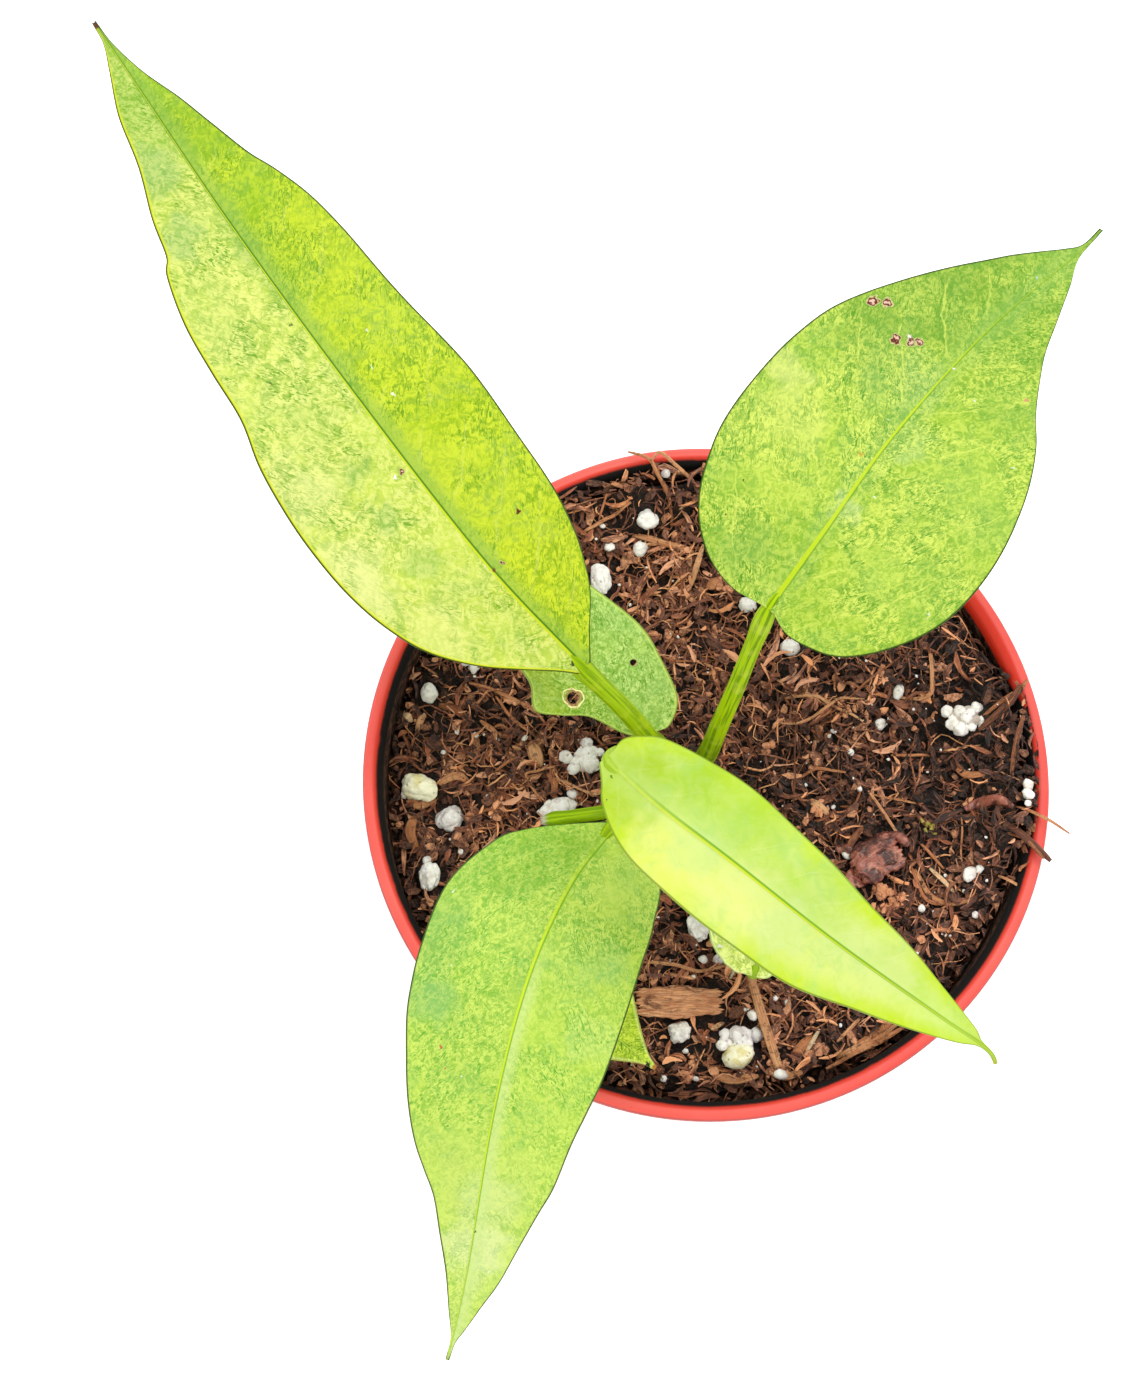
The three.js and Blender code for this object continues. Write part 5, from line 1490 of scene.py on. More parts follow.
            colour = finish.blend((1 - apart.ramp(size * 1.1, size * 1.7)) * 0.5, colour, look["deep"])
            colour = finish.blend((1 - apart.ramp(size * 0.95, size * 1.2)) * 0.8, colour,
                ink(244, 226, 160))
            colour = finish.blend(1 - apart.ramp(size * 0.7, size * 0.95), colour, ink(112, 40, 26))
            colour = finish.blend(1 - apart.ramp(size * 0.25, size * 0.5), colour, ink(250, 206, 180))
        else:
            colour = finish.blend(1 - apart.ramp(size * 0.55, size), colour, tint)
    under = finish.fact("under")
    colour = finish.blend(under * 0.75, colour, look["underside"])
    height = felt * 0.5 + dash * 0.3 + vein * 0.3 + rib * 0.5
    sockets = {
        "Base Color": colour,
        "Roughness": look["gloss"] + 0.2 * felt + 0.1 * under,
        "Normal": finish.relief(height, 0.12, 0.6),
        "Specular IOR Level": 0.16,
    }
    return finish.dress(sockets)


def brighter(look, gain):
    """The look with each of its colours raised as painted light, for a leaf that others shade."""
    lit = dict(look)
    for key, value in look.items():
        if isinstance(value, tuple) and len(value) == 3:
            lit[key] = tuple(level * gain for level in value)
    return lit


def stalk_skin(name, foot, body, pale, stripe):
    """A stalk's skin: fine lengthwise stripes, a pale centre line and small glassy drops, painted pale as
    glints.
    """
    finish = Finish(name)
    lay = finish.fact("lay", "Vector")
    along, around, _ = finish.split(lay)
    place = finish.place()
    streak = finish.speckle(finish.vector(along * 0.06, around * 2.4, 0.0), 1.0, 3.0, 0.6)
    patch = finish.speckle(place, 0.35, 2.0)
    share = finish.fact("share")
    colour = finish.blend(share.ramp(0.0, 0.5), foot, body)
    colour = finish.blend(streak.ramp(0.46, 0.6) * 0.75, colour, stripe)
    colour = finish.blend(patch.ramp(0.5, 0.7) * 0.35, colour, pale)
    centre = 1 - abs(around - math.pi / 2).ramp(0.05, 0.3)
    colour = finish.blend(centre * 0.45, colour, pale)
    # Painted glints: the drops are pale spots.
    drop = 1 - finish.cells(place, 0.9).ramp(0.06, 0.13)
    colour = finish.blend(drop * 0.5, colour, pale)
    bumps = streak * 0.5 + drop
    sockets = {"Base Color": colour, "Roughness": 0.36 + 0.2 * streak,
        "Normal": finish.relief(bumps, 0.14, 0.6)}
    return finish.dress(sockets | {"Specular IOR Level": 0.12})


def grow_leaf(name, leaf, look, stalk_finish):
    """A leaf in one piece: its blade and the stalk that runs on into the midrib."""
    corners, faces, facts = blade_body(leaf)
    whole = Shape().add(corners, faces, 0, **facts)
    ends = [blade_place(leaf, np.array(u), np.array(0.0), np.array(0.0),
        np.array(blade_thickness + 0.35)) for u in (0.4, 4.0)]
    route = [*leaf["stalk"], *[tuple(end) for end in ends]]
    foot, top = leaf["stalk_radius"]
    body, stalk_faces, lay = stalk_body(route, foot, top, leaf["channel_up"], 0.2, 0.7)
    share = np.repeat(np.linspace(0, 1, 90), 28)
    whole.add(body, stalk_faces, 1, lay=lay, share=share, inset=5.0)
    finishes = [leaf_skin(f"{name}_skin", leaf, look), stalk_finish]
    for corners, faces, facts in leaf.get("calluses", []):
        whole.add(corners, faces, 2, **facts)
    if leaf.get("calluses"):
        finishes.append(callus())
    made = whole.piece(name, finishes)
    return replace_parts(made, name.removeprefix("plant_"))


mature = {
    "stretch": 0.6, "blotch_scale": 0.15, "felt_scale": 0.7, "curl_scale": 0.62, "curl_width": 0.09,
    "dash_scale": 1.15, "haze": 0.6, "blotch": 0.6, "felt": 0.45, "felt_dark": 0.5, "curl": 0.45,
    "dash": 0.7,
    "beside_from": (-0.1, 0.0), "shadow_from": (-0.1, 0.0), "net": 0.0, "net_scale": 0.6, "vein": 0.35,
    "beside": (0.0, 0.0), "beside_reach": 3.0, "rib_fade": 0.0,
    "beside_colour": ink(170, 204, 90), "rib": 0.3, "rib_share": 0.9, "rib_from": (-0.1, 0.0), "clouds": [],
    "shadow_side": -1.0, "shadow": 0.8, "shadow_width": 0.3, "margin": 0.0, "margin_reach": (0.3, 4.0),
    "margin_colour": ink(220, 240, 80), "band": ink(214, 232, 60), "band_share": (0.0, 0.0), "line": 0.95,
    "gloss": 0.36, "tip_from": (0.75, 1.0), "tip_calm": 0.0, "marks": [], "line_colour": ink(50, 84, 14),
    "underside": ink(170, 196, 110), "shadow_colour": ink(78, 138, 10), "rib_colour": ink(206, 236, 60),
}

upper_left = {
    "stalk": [(-6.5, -1, 88.6), (-7.4, 0.2, 97), (-10, 1.7, 107), (-14.8, 4.3, 117)],
    "stalk_radius": (1.7, 1.4),
    "midrib": [
        (-20, 7.3, 125), (-34.7, 19.6, 138), (-52.9, 40.8, 148),
        (-69.7, 63.9, 150), (-83.6, 86.2, 146), (-90.9, 98.1, 143),
    ],
    "left": [
        (0, 1.2), (3.9, 3.8), (9, 7.6), (14, 11.4), (20, 15.1), (26, 17.2), (32, 18.2), (38.5, 18.3),
        (45, 17.9), (51.5, 17), (57.8, 15.1), (65, 14.4), (72.5, 13.6), (79.3, 11.8), (82, 10.2), (88, 8.8),
        (96, 6.4), (105, 4.8), (113, 2.2), (118, 0.6), (122, 0.3),
    ],
    "right": [
        (0, 1.2), (3.4, 4.2), (8.2, 9), (14, 11.9), (20, 13.3), (26, 14.2), (32, 14.7), (38.5, 15),
        (45, 14.9), (51.5, 14.3), (58, 13.6), (65, 12.9), (72.5, 12.2), (79.3, 11.3), (85, 9.7), (90, 7.6),
        (97, 5.6), (104, 4), (111, 1.8), (117, 0.5), (122, 0.3),
    ],
    "fold": 0.22, "curl": 0.006, "wave": (0.5, 24), "lean": 0.75, "bend": 0.02, "vein_gap": 8.5,
    "quilt": 0.08, "rib_lift": -0.12, "seed": 3.0, "channel_up": (-0.6, 0.6, 0.5), "slot": "leaf_mature",
}
upper_left_look = mature | {
    # The left half's pale colour and the right half's deeper one are painted light and shade across the
    # fold.
    "left": ink(220, 241, 90), "right": ink(192, 224, 16), "tip": ink(170, 212, 76),
    "tip_from": (0.66, 0.86),
    "lime": ink(236, 249, 90), "grey": ink(140, 190, 100), "deep": ink(120, 176, 18),
    "pale": ink(250, 254, 148),
    "pale_right": ink(226, 244, 50), "deep_right": ink(124, 176, 6), "felt_dark": 0.42, "curl": 0.5,
    "haze": 0.35,
    # The band beside the midrib, on the right half, is painted shade in the fold's valley.
    "vein": 0.2, "dash": 0.75, "tip_calm": 0.2, "right_gain": 1.5, "rib": 0.22, "beside": (0.5, 0.0),
    "beside_colour": ink(146, 196, 90),
    "rib_colour": ink(226, 242, 30), "shadow_colour": ink(76, 140, 6), "shadow": 0.95,
    "band": ink(236, 242, 20),
    "band_share": (0.0, 0.9),
    "clouds": [
        (95, 5.2, 5, 0.78, ink(140, 194, 100)), (83, 7.7, 4, 0.65, ink(140, 194, 110)),
        (106, 2.5, 6, 0.65, ink(130, 192, 40)),
        (81, -3.5, 5, 0.65, ink(140, 196, 30)), (69, -3, 4, 0.52, ink(146, 200, 50)),
        (72, 5.7, 4, 0.78, ink(236, 248, 110)),
        (53, 7.3, 4, 0.52, ink(176, 214, 84)), (46, 15, 6, 0.9, ink(246, 254, 150)),
        (32, 17, 6, 0.9, ink(248, 254, 160)),
        (43, 7.1, 2.6, 0.78, ink(150, 198, 84)), (36, 7.5, 3, 0.78, ink(150, 200, 92)),
        (28, 7, 3, 0.65, ink(160, 206, 90)),
        (20, 12, 5, 0.65, ink(244, 252, 140)), (15, -6, 9, 0.9, ink(238, 252, 40)),
        (59, -8, 8, 0.52, ink(206, 232, 30)),
        (107, -1.3, 3, 0.6, ink(120, 184, 20)), (100, -2.5, 4, 0.6, ink(124, 186, 20)),
        (94, -4.5, 4, 0.55, ink(128, 190, 20)),
        (86, -6.5, 4, 0.5, ink(132, 192, 30)), (77, -2, 4, 0.55, ink(130, 186, 60)),
        (70, -2.5, 4, 0.5, ink(136, 190, 60)),
        (77, -9.5, 4, 0.6, ink(214, 238, 40)), (70, -11, 4, 0.6, ink(212, 236, 40)),
        (88, 2, 3, 0.6, ink(232, 246, 110)),
    ],
    "marks": [
        (39.5, 1.3, 0.5, "scar"), (39.6, 2.5, 0.3, ink(255, 255, 255)),
        (24.9, -8.1, 0.42, ink(110, 40, 20)),
        (20.5, -0.4, 0.35, ink(126, 78, 44)), (20.7, -1.9, 0.4, "scar"),
        (21.9, 0.5, 0.25, ink(250, 250, 236)),
        # The near-white marks at 48.7, 53.5 and 58 mm along are painted glints on drops of water.
        (1.7, 0.7, 0.4, ink(70, 90, 30)), (58.0, -6.6, 0.4, ink(244, 240, 214)),
        (53.5, -4.0, 0.25, ink(240, 244, 214)),
        (48.7, -4.3, 0.25, ink(250, 250, 226)), (64.8, 1.5, 0.25, ink(96, 110, 40)),
        (59.4, 8.7, 0.25, ink(110, 140, 50)),
        (121.5, 0.0, 0.8, ink(120, 84, 50)),
    ],
}
green_stalk = stalk_skin("green_stalk", ink(160, 194, 0), ink(180, 216, 0), ink(222, 242, 60),
    ink(112, 158, 0))
grow_leaf("plant_leaf_upper_left", upper_left, upper_left_look, green_stalk)

# The upper right leaf is a broad heart on a long straight stalk, its blade nearly flat, mottled
# all over, with two torn scars near its upper edge.

upper_right = {
    "stalk": [(-1.8, 1, 85.5), (-0.6, 2.1, 91), (0, 2.4, 97), (0.6, 3.2, 107), (2, 5.5, 120),
        (3.7, 9, 132.4)],
    "stalk_radius": (1.6, 1.25),
    "midrib": [
        (4.9, 11.6, 141), (12.4, 21.4, 146), (22.2, 34.9, 148),
        (35.7, 50.7, 146), (49.7, 64.4, 141), (54.2, 69.4, 139),
    ],
    "left": [
        (0, 1.2), (-0.5, 5.4), (0.5, 9.4), (2.5, 12.7), (5.6, 15.7), (9.8, 18), (15.5, 19.7), (21, 20.2),
        (28, 19.8), (33.3, 19.1), (38.5, 18), (43.7, 15.9), (49.4, 12.9), (54, 10.2), (58.8, 7.6),
        (63.5, 5.5),
        (67.9, 3.4), (71.2, 1.7), (73.8, 0.5), (78, 0.3),
    ],
    "right": [
        (0, 1.2), (-1.2, 4.4), (-0.7, 8.4), (0.5, 11.7), (3.1, 14.7), (6.4, 17.4), (10.1, 19.7),
        (14.3, 21.3),
        (19.5, 22), (25, 21.8), (30.6, 20.8), (36.2, 19), (41.3, 16.4), (45.2, 13.4), (49.4, 10.8),
        (54.3, 8.2),
        (60, 5.9), (66.5, 3.1), (71.5, 0.7), (78, 0.3),
    ],
    "fold": 0.15, "curl": 0.004, "wave": (0.35, 26), "lean": 0.9, "bend": 0.02, "vein_gap": 9.5,
    "quilt": 0.08, "rib_lift": -0.1, "seed": 11.0, "channel_up": (0.5, 0.6, 0.5), "slot": "leaf_mature",
}
upper_right_look = mature | {
    "left": ink(160, 207, 46), "right": ink(163, 208, 46), "tip": ink(102, 164, 32), "tip_from": (0.4, 0.8),
    "lime": ink(196, 230, 60), "grey": ink(122, 184, 84), "deep": ink(98, 166, 26),
    "pale": ink(236, 252, 110),
    # The band beside the midrib is painted sheen.
    "beside": (0.2, 0.2), "beside_colour": ink(160, 208, 110), "rib_colour": ink(212, 238, 20),
    "tip_calm": 0.2,
    "shadow_colour": ink(112, 170, 16), "felt_scale": 0.8, "curl_scale": 0.75, "felt": 0.34,
    "felt_dark": 0.66,
    "stretch": 0.85, "dash_scale": 1.05, "curl": 0.75, "dash": 0.8, "haze": 0.55, "blotch": 0.7,
    "vein": 0.6, "shadow": 0.7, "shadow_width": 0.2,
    "rib": 0.42, "rib_fade": 0.6,
    "clouds": [
        (24, 12, 5, 0.9, ink(226, 244, 110)), (16, 10, 6, 0.65, ink(212, 238, 80)),
        (21, 20, 4, 0.65, ink(206, 234, 90)),
        (48, 8, 7, 0.95, ink(104, 166, 34)), (39, 12, 6, 0.85, ink(108, 168, 34)),
        (37, 5, 6, 0.65, ink(122, 180, 80)),
        (54, -2, 6, 0.52, ink(134, 190, 56)), (66, 0.7, 7, 0.52, ink(130, 188, 66)),
        # The pale cloud at 18 mm beside the midrib is painted sheen.
        (18, -1, 2.4, 0.9, ink(220, 242, 160)),
        (4, 7.4, 6, 0.65, ink(136, 190, 76)), (11, -10, 7, 0.52, ink(196, 230, 84)),
        (30, -12, 8, 0.52, ink(184, 222, 76)),
        (30, -3, 3, 0.65, ink(190, 224, 130)), (14, -18, 5, 0.5, ink(132, 192, 60)),
        (27, -19, 5, 0.5, ink(128, 188, 62)),
        (44, -9, 5, 0.5, ink(134, 190, 56)), (28, 16, 3, 0.7, ink(236, 248, 140)),
        (10, 14, 4, 0.5, ink(140, 196, 56)),
        (42, 15.5, 4, 0.8, ink(110, 170, 30)), (52, -3, 5, 0.5, ink(120, 178, 50)),
        (38, 1.5, 4, 0.6, ink(152, 198, 120)),
    ],
    "marks": [
        (41.0, 8.3, 0.7, "scar"), (42.2, 6.4, 0.75, "scar"), (42.9, 5.7, 0.6, "scar"),
        (43.1, 14.4, 0.75, "scar"),
        # The white mark at 42.4 mm, among the scars, is a painted glint.
        (44.3, 12.7, 0.75, "scar"), (42.4, 7.0, 0.3, ink(255, 252, 250)),
        (25.2, 1.7, 0.3, ink(216, 180, 60)), (43.4, -0.4, 0.28, ink(255, 255, 255)),
        (31.1, 1.7, 0.2, ink(236, 250, 226)), (41.3, -5.5, 0.2, ink(240, 250, 220)),
        (21.1, -3.1, 0.2, ink(240, 250, 220)),
        (12.2, -18.3, 0.3, ink(240, 246, 224)), (63.4, 1.1, 0.3, ink(196, 226, 214)),
        (-0.2, -0.4, 0.4, ink(104, 66, 36)),
        (-1.5, -1.7, 0.35, ink(120, 80, 40)), (46.2, -11.0, 0.4, ink(222, 170, 110)),
        (36.5, -15.7, 0.25, ink(246, 250, 230)),
        (12.5, 13.1, 0.22, ink(96, 96, 40)), (7.2, 12.1, 0.22, ink(96, 96, 40)),
        (4.5, 11.9, 0.22, ink(110, 100, 40)),
    ],
}
pale_stalk = stalk_skin("pale_stalk", ink(172, 206, 0), ink(196, 232, 0), ink(240, 254, 100),
    ink(88, 140, 0))
grow_leaf("plant_leaf_upper_right", upper_right, upper_right_look, pale_stalk)

# The lower left leaf arches over and hangs down past the rim, with a raised bright midrib and a
# dense bluish mottling that fades to pale lime at its tip, partly its own colour and partly a painted
# sheen.

lower_left = {
    "stalk": [(-5.2, -4.4, 87), (-6.8, -6.4, 96), (-9.8, -9.1, 107), (-13.4, -12.8, 117)],
    "stalk_radius": (1.6, 1.3),
    "midrib": [
        (-15.8, -14.8, 120), (-22, -24.2, 125), (-27.8, -37.6, 126),
        (-32.3, -54.7, 120), (-36, -76.1, 105), (-38.8, -88.1, 94),
    ],
    "left": [
        (0, 1.2), (0.4, 6), (3.8, 10.9), (11.6, 13.2), (19, 14.1), (26, 14.5), (32.7, 14.4), (39.2, 13.8),
        (44.6, 12.7), (50, 11.5), (56.6, 10.2), (61.1, 8.7), (67.1, 6.8), (73.1, 4.9), (77.7, 3),
        (82.4, 1.4),
        (85, 0.6), (88.5, 0.3),
    ],
    "right": [
        (0, 1.2), (4.8, 5.9), (8.2, 9.6), (11.3, 12.5), (18.6, 15.5), (27.3, 15.7), (32.4, 15.4),
        (36.4, 14.9),
        (41.4, 13.7), (46.5, 12.4), (52.8, 10.3), (57.2, 8.3), (61.2, 6.4), (66.7, 4.8), (73, 2.9),
        (79.6, 1.4),
        (84.5, 0.3), (88.5, 0.3),
    ],
    "fold": 0.06, "curl": 0.01, "wave": (0.4, 25), "lean": 0.8, "bend": 0.025, "vein_gap": 8.0,
    "quilt": 0.08, "rib_lift": 0.22, "seed": 23.0, "channel_up": (-0.5, -0.5, 0.6), "slot": "leaf_mature",
}
lower_left_look = brighter(mature, 1.15) | {
    # The pale tip is partly the leaf's own lime and partly painted sheen where the hanging tip catches the
    # light.
    "left": ink(194, 232, 78), "right": ink(172, 213, 66), "tip": ink(234, 252, 136),
    "tip_from": (0.4, 0.85),
    "lime": ink(212, 244, 90), "grey": ink(136, 202, 112), "deep": ink(118, 188, 52),
    "pale": ink(230, 252, 116),
    # The pale band beside the midrib is painted sheen.
    "beside": (0.0, 0.75), "beside_reach": 2.4, "beside_colour": ink(222, 246, 150),
    "rib_colour": ink(220, 248, 40),
    "beside_from": (0.22, 0.34), "rib_from": (-0.05, 0.3),
    "shadow_colour": ink(120, 182, 16), "felt_scale": 0.9, "curl_scale": 0.78, "felt": 0.36,
    "felt_dark": 0.55,
    "stretch": 0.85, "dash_scale": 1.1,
    "curl": 0.6, "dash": 0.8, "haze": 0.5, "blotch": 0.55, "blotch_scale": 0.2, "tip_calm": 0.3,
    "shadow_side": 1.0, "shadow_width": 0.2, "rib": 0.36, "shadow": 0.8, "margin": 0.4,
    "margin_reach": (0.5, 4.0), "margin_colour": ink(212, 246, 84),
    "clouds": [
        (14, -9, 6, 0.85, ink(118, 180, 34)), (9, -5, 5, 0.85, ink(120, 184, 30)),
        (25, -13, 5, 0.72, ink(126, 188, 92)),
        (34, -12, 4, 0.52, ink(140, 204, 116)), (8, 7, 6, 0.65, ink(206, 240, 100)),
        (21, 9.7, 4, 0.52, ink(150, 212, 124)),
        # The two pale clouds at 60 and 68 mm are painted sheen.
        (60, 1.2, 4, 0.65, ink(236, 252, 160)), (68, 0.6, 5, 0.9, ink(244, 255, 180)),
        (33, 11, 4, 0.65, ink(216, 246, 130)),
        (27, -7, 4, 0.52, ink(196, 234, 80)), (6, -1.7, 4, 0.6, ink(124, 186, 20)),
        (17, -13, 4, 0.6, ink(134, 192, 84)),
        (32, -13.7, 4, 0.5, ink(138, 198, 112)), (9, 4.7, 4, 0.5, ink(204, 238, 96)),
        (24, 6, 5, 0.5, ink(196, 232, 90)),
    ],
    "marks": [
        (39.3, -9.2, 0.3, ink(206, 110, 80)), (42.0, -8.0, 0.3, ink(206, 110, 80)),
        (42.7, -5.4, 0.25, ink(255, 252, 240)),
        (28.6, -10.8, 0.2, ink(240, 250, 230)), (19.6, -14.0, 0.22, ink(240, 250, 230)),
        (71.8, 3.2, 0.2, ink(250, 252, 236)),
        (65.6, 0.2, 0.22, ink(70, 100, 40)),
    ],
}
grow_leaf("plant_leaf_lower_left", lower_left, lower_left_look, green_stalk)

# The youngest leaf stands highest, over the middle of the pot. It is thin, soft and almost
# yellow, without mottling, and its midrib is a double ridge with one green flank.

young = {
    "stalk": [(-3.8, -2, 91.7), (-5.2, -3, 105), (-9, -5.8, 125), (-14.2, -9.4, 143)],
    "stalk_radius": (1.5, 1.2),
    "midrib": [
        (-17.9, -12.3, 152), (-11.4, -19.3, 155), (-1.5, -27, 155),
        (12.1, -36.7, 151), (26.4, -45.7, 146), (33, -49.6, 143.1), (34.6, -51.8, 142),
    ],
    "left": [
        (0, 1.2), (-0.2, 3.4), (1.5, 5.4), (4.5, 7.3), (11, 8.9), (20, 9.3), (32, 8.2),
        (45, 6.1), (56, 3.5), (62.5, 1.4), (64.5, 0.4), (68.2, 0.25),
    ],
    "right": [
        (0, 1.2), (2.7, 3), (5.4, 5.1), (11.7, 7.9), (19, 8.8), (28, 9), (38, 8.3),
        (47, 5.9), (56, 3.4), (61.5, 1.6), (64.8, 0.3), (68.2, 0.25),
    ],
    "fold": 0.25, "curl": 0.012, "wave": (0.35, 15), "lean": 0.8, "bend": 0.03, "vein_gap": 6.0,
    "quilt": 0.05, "rib_lift": 0.24, "seed": 37.0, "channel_up": (0.6, 0.6, 0.3), "slot": "leaf_young",
}
young_look = mature | {
    # The right half is paler than the left as painted light: it is the half turned to the lamp.
    "left": ink(200, 236, 84), "right": ink(232, 246, 110), "tip": ink(216, 248, 96),
    "tip_from": (0.6, 1.0),
    "lime": ink(230, 248, 140), "grey": ink(186, 230, 136), "deep": ink(172, 220, 60),
    "pale": ink(242, 252, 170),
    "beside": (0.3, 0.3), "beside_reach": 4.0, "beside_colour": ink(216, 243, 146),
    "rib_colour": ink(222, 240, 30),
    "shadow_colour": ink(122, 180, 14), "line_colour": ink(124, 154, 20), "line": 0.75, "margin": 0.95,
    "margin_reach": (0.4, 4.5), "margin_colour": ink(208, 240, 8), "felt_scale": 0.4, "felt": 0.12,
    "felt_dark": 0.08, "curl": 0.0, "dash": 0.05, "dash_scale": 0.7, "blotch": 0.5, "blotch_scale": 0.13,
    "haze": 0.6, "vein": 0.14, "shadow_side": 1.0, "shadow": 0.95, "shadow_width": 0.36,
    "shadow_from": (0.0, 0.3), "rib": 0.34, "rib_from": (-0.1, 0.4), "gloss": 0.3,
    "underside": ink(206, 226, 130),
    "clouds": [
        (5, -1, 7, 0.75, ink(176, 214, 6)), (12, 7, 5, 0.6, ink(168, 214, 16)),
        (21, 8, 5, 0.5, ink(182, 226, 60)),
        (16, -6, 6, 0.6, ink(248, 254, 120)), (26, -4, 6, 0.5, ink(250, 254, 150)),
        (18, -1.5, 4, 0.4, ink(206, 240, 150)),
        (34, 6, 5, 0.4, ink(196, 234, 100)), (33, -3, 5, 0.4, ink(214, 242, 160)),
        (46, 2, 6, 0.4, ink(236, 250, 160)),
    ],
    "marks": [
        (5.3, -4.1, 0.2, ink(110, 130, 40)), (2.9, -1.5, 0.2, ink(110, 130, 40)),
        (68.0, 0.0, 0.6, ink(196, 206, 60)),
    ],
}
young_stalk = stalk_skin("young_stalk", ink(156, 196, 52), ink(190, 224, 60), ink(222, 242, 120),
    ink(150, 196, 30))
grow_leaf("plant_leaf_young", young, young_look, young_stalk)

# An old leaf lies low under the upper left one, greyish with a fine net of veins. It has a small
# round hole and a larger torn one, both healed with a dry corky rim.

old_holed = {
    "stalk": [(-5.5, 0.7, 83.6), (-6.4, 2.7, 88.5), (-7.5, 3.7, 95.5)],
    "stalk_radius": (1.2, 1.0),
    "midrib": [(-9, 3.1, 102), (-18.4, 12.3, 108), (-27.4, 21.6, 111), (-35.1, 30.8, 110)],
    "left": [
        (0, 0.9), (3.7, 3.3), (9, 5.4), (12.3, 8.6), (15.4, 11), (18.4, 9), (21, 8.4),
        (27, 7.4), (33, 4.4), (37.5, 1.2), (39.6, 0.35),
    ],
    "right": [
        (0, 0.9), (-0.6, 3.1), (1.9, 6.7), (8.8, 8.8), (13.6, 9.4), (19.3, 8.7), (25, 7.4),
        (31, 4.8), (36, 2), (38.4, 0.7), (39.6, 0.35),
    ],
    "fold": 0.2, "curl": 0.008, "wave": (0.2, 14), "lean": 0.8, "bend": 0.03, "vein_gap": 4.5,
    "quilt": 0.1, "rib_lift": -0.08, "seed": 51.0, "channel_up": (-0.5, 0.5, 0.6), "slot": "leaf_old",
    "holes": [(10.3, -5.0, 0.55, 0.55), (12.8, 5.4, 0.95, 1.05)],
}


def callus():
    finish = Finish("callus")
    lay = finish.fact("lay", "Vector")
    bark = finish.speckle(lay, 0.9, 4.0, 0.7)
    dark = finish.blend(finish.fact("tone"), ink(150, 100, 52), ink(250, 214, 140))
    pale = finish.blend(finish.fact("tone"), ink(236, 190, 120), ink(330, 312, 236))
    colour = finish.blend(bark.ramp(0.36, 0.56), dark, pale)
    return finish.dress({"Base Color": colour, "Roughness": 0.7 + 0.2 * bark,
        "Normal": finish.relief(bark, 0.1, 0.8)})


def callus_ring(leaf, hole, thick, wide, tone):
    """A corky bead round a hole, on the blade's upper face, so much wider than the hole."""
    hole_u, hole_v, radius_u, radius_v = hole
    angles = np.arange(40) / 40 * 2 * np.pi
    wobble = 1 + (wide - 1) * 0.35 * np.sin(2 * angles + 0.7) + 0.06 * np.sin(3 * angles
        + 1) + 0.04 * np.sin(7 * angles)
    u = hole_u + np.cos(angles) * radius_u * wobble * wide
    v = hole_v + np.sin(angles) * radius_v * wobble * wide
    centre = blade_place(leaf, u, v, 0 * u, 0 * u + 0.16)
    ahead = np.roll(centre, -1, axis=0) - np.roll(centre, 1, axis=0)
    ahead /= np.linalg.norm(ahead, axis=1, keepdims=True)
    up = np.array([0.0, 0.0, 1.0]) - ahead * ahead[:, 2:3]
    up /= np.linalg.norm(up, axis=1, keepdims=True)
    left = np.cross(up, ahead)
    turn = np.arange(8) / 8 * 2 * np.pi
    bead = (left[:, None] * np.cos(turn)[None, :, None] * thick
        + up[:, None] * np.sin(turn)[None, :, None] * thick * 1.2)
    corners = centre[:, None, :] + bead
    lay = np.stack([angles[:, None] * 3 + 0 * turn, turn[None, :] + 0 * angles[:, None],
        0 * angles[:, None] + 0 * turn], axis=-1)
    return corners, ring_faces(40, 8, True), {"lay": lay.reshape(-1, 3), "tone": tone}


old_holed["calluses"] = [
    callus_ring(old_holed, old_holed["holes"][0], 0.1, 1.06, 0.3),
    callus_ring(old_holed, old_holed["holes"][1], 0.19, 1.08, 0.0),
    callus_ring(old_holed, old_holed["holes"][1], 0.17, 1.45, 1.0),
]
old_holed_look = brighter(mature | {
    "left": ink(170, 202, 70), "right": ink(176, 212, 100), "tip": ink(150, 190, 76),
    "tip_from": (0.7, 1.0),
    "lime": ink(190, 220, 80), "grey": ink(138, 186, 112), "deep": ink(88, 148, 12),
    "pale": ink(206, 228, 136),
    "beside": (0.3, 0.3), "beside_colour": ink(160, 200, 96), "rib_colour": ink(190, 220, 90),
    "band": ink(204, 224, 110), "band_share": (0.7, 0.7), "felt_scale": 0.9, "curl_scale": 0.8,
    "dash_scale": 1.1,
    "net": 0.35, "net_scale": 0.9, "net_colour": ink(92, 146, 6), "felt": 0.45, "felt_dark": 0.7,
    "curl": 0.8, "curl_width": 0.07, "dash": 0.9, "stretch": 0.9,
    "clouds": [(15, 7, 8, 0.9, ink(206, 232, 30)), (5, -4, 5, 0.5, ink(210, 246, 130)),
        (26, -2, 8, 0.5, ink(160, 206, 60))], "rib": 0.3, "shadow": 0.4,
    "line_colour": ink(110, 140, 40), "line": 0.7,
}, 1.5)
old_stalk = stalk_skin("old_stalk", ink(150, 184, 40), ink(172, 210, 40), ink(220, 240, 110),
    ink(124, 166, 20))
grow_leaf("plant_leaf_old_holed", old_holed, old_holed_look, old_stalk)

# A second old leaf lies under the lower left one, and its pointed tip ends in a dry thread. It is
# finely striped from the midrib out, with pale margins.

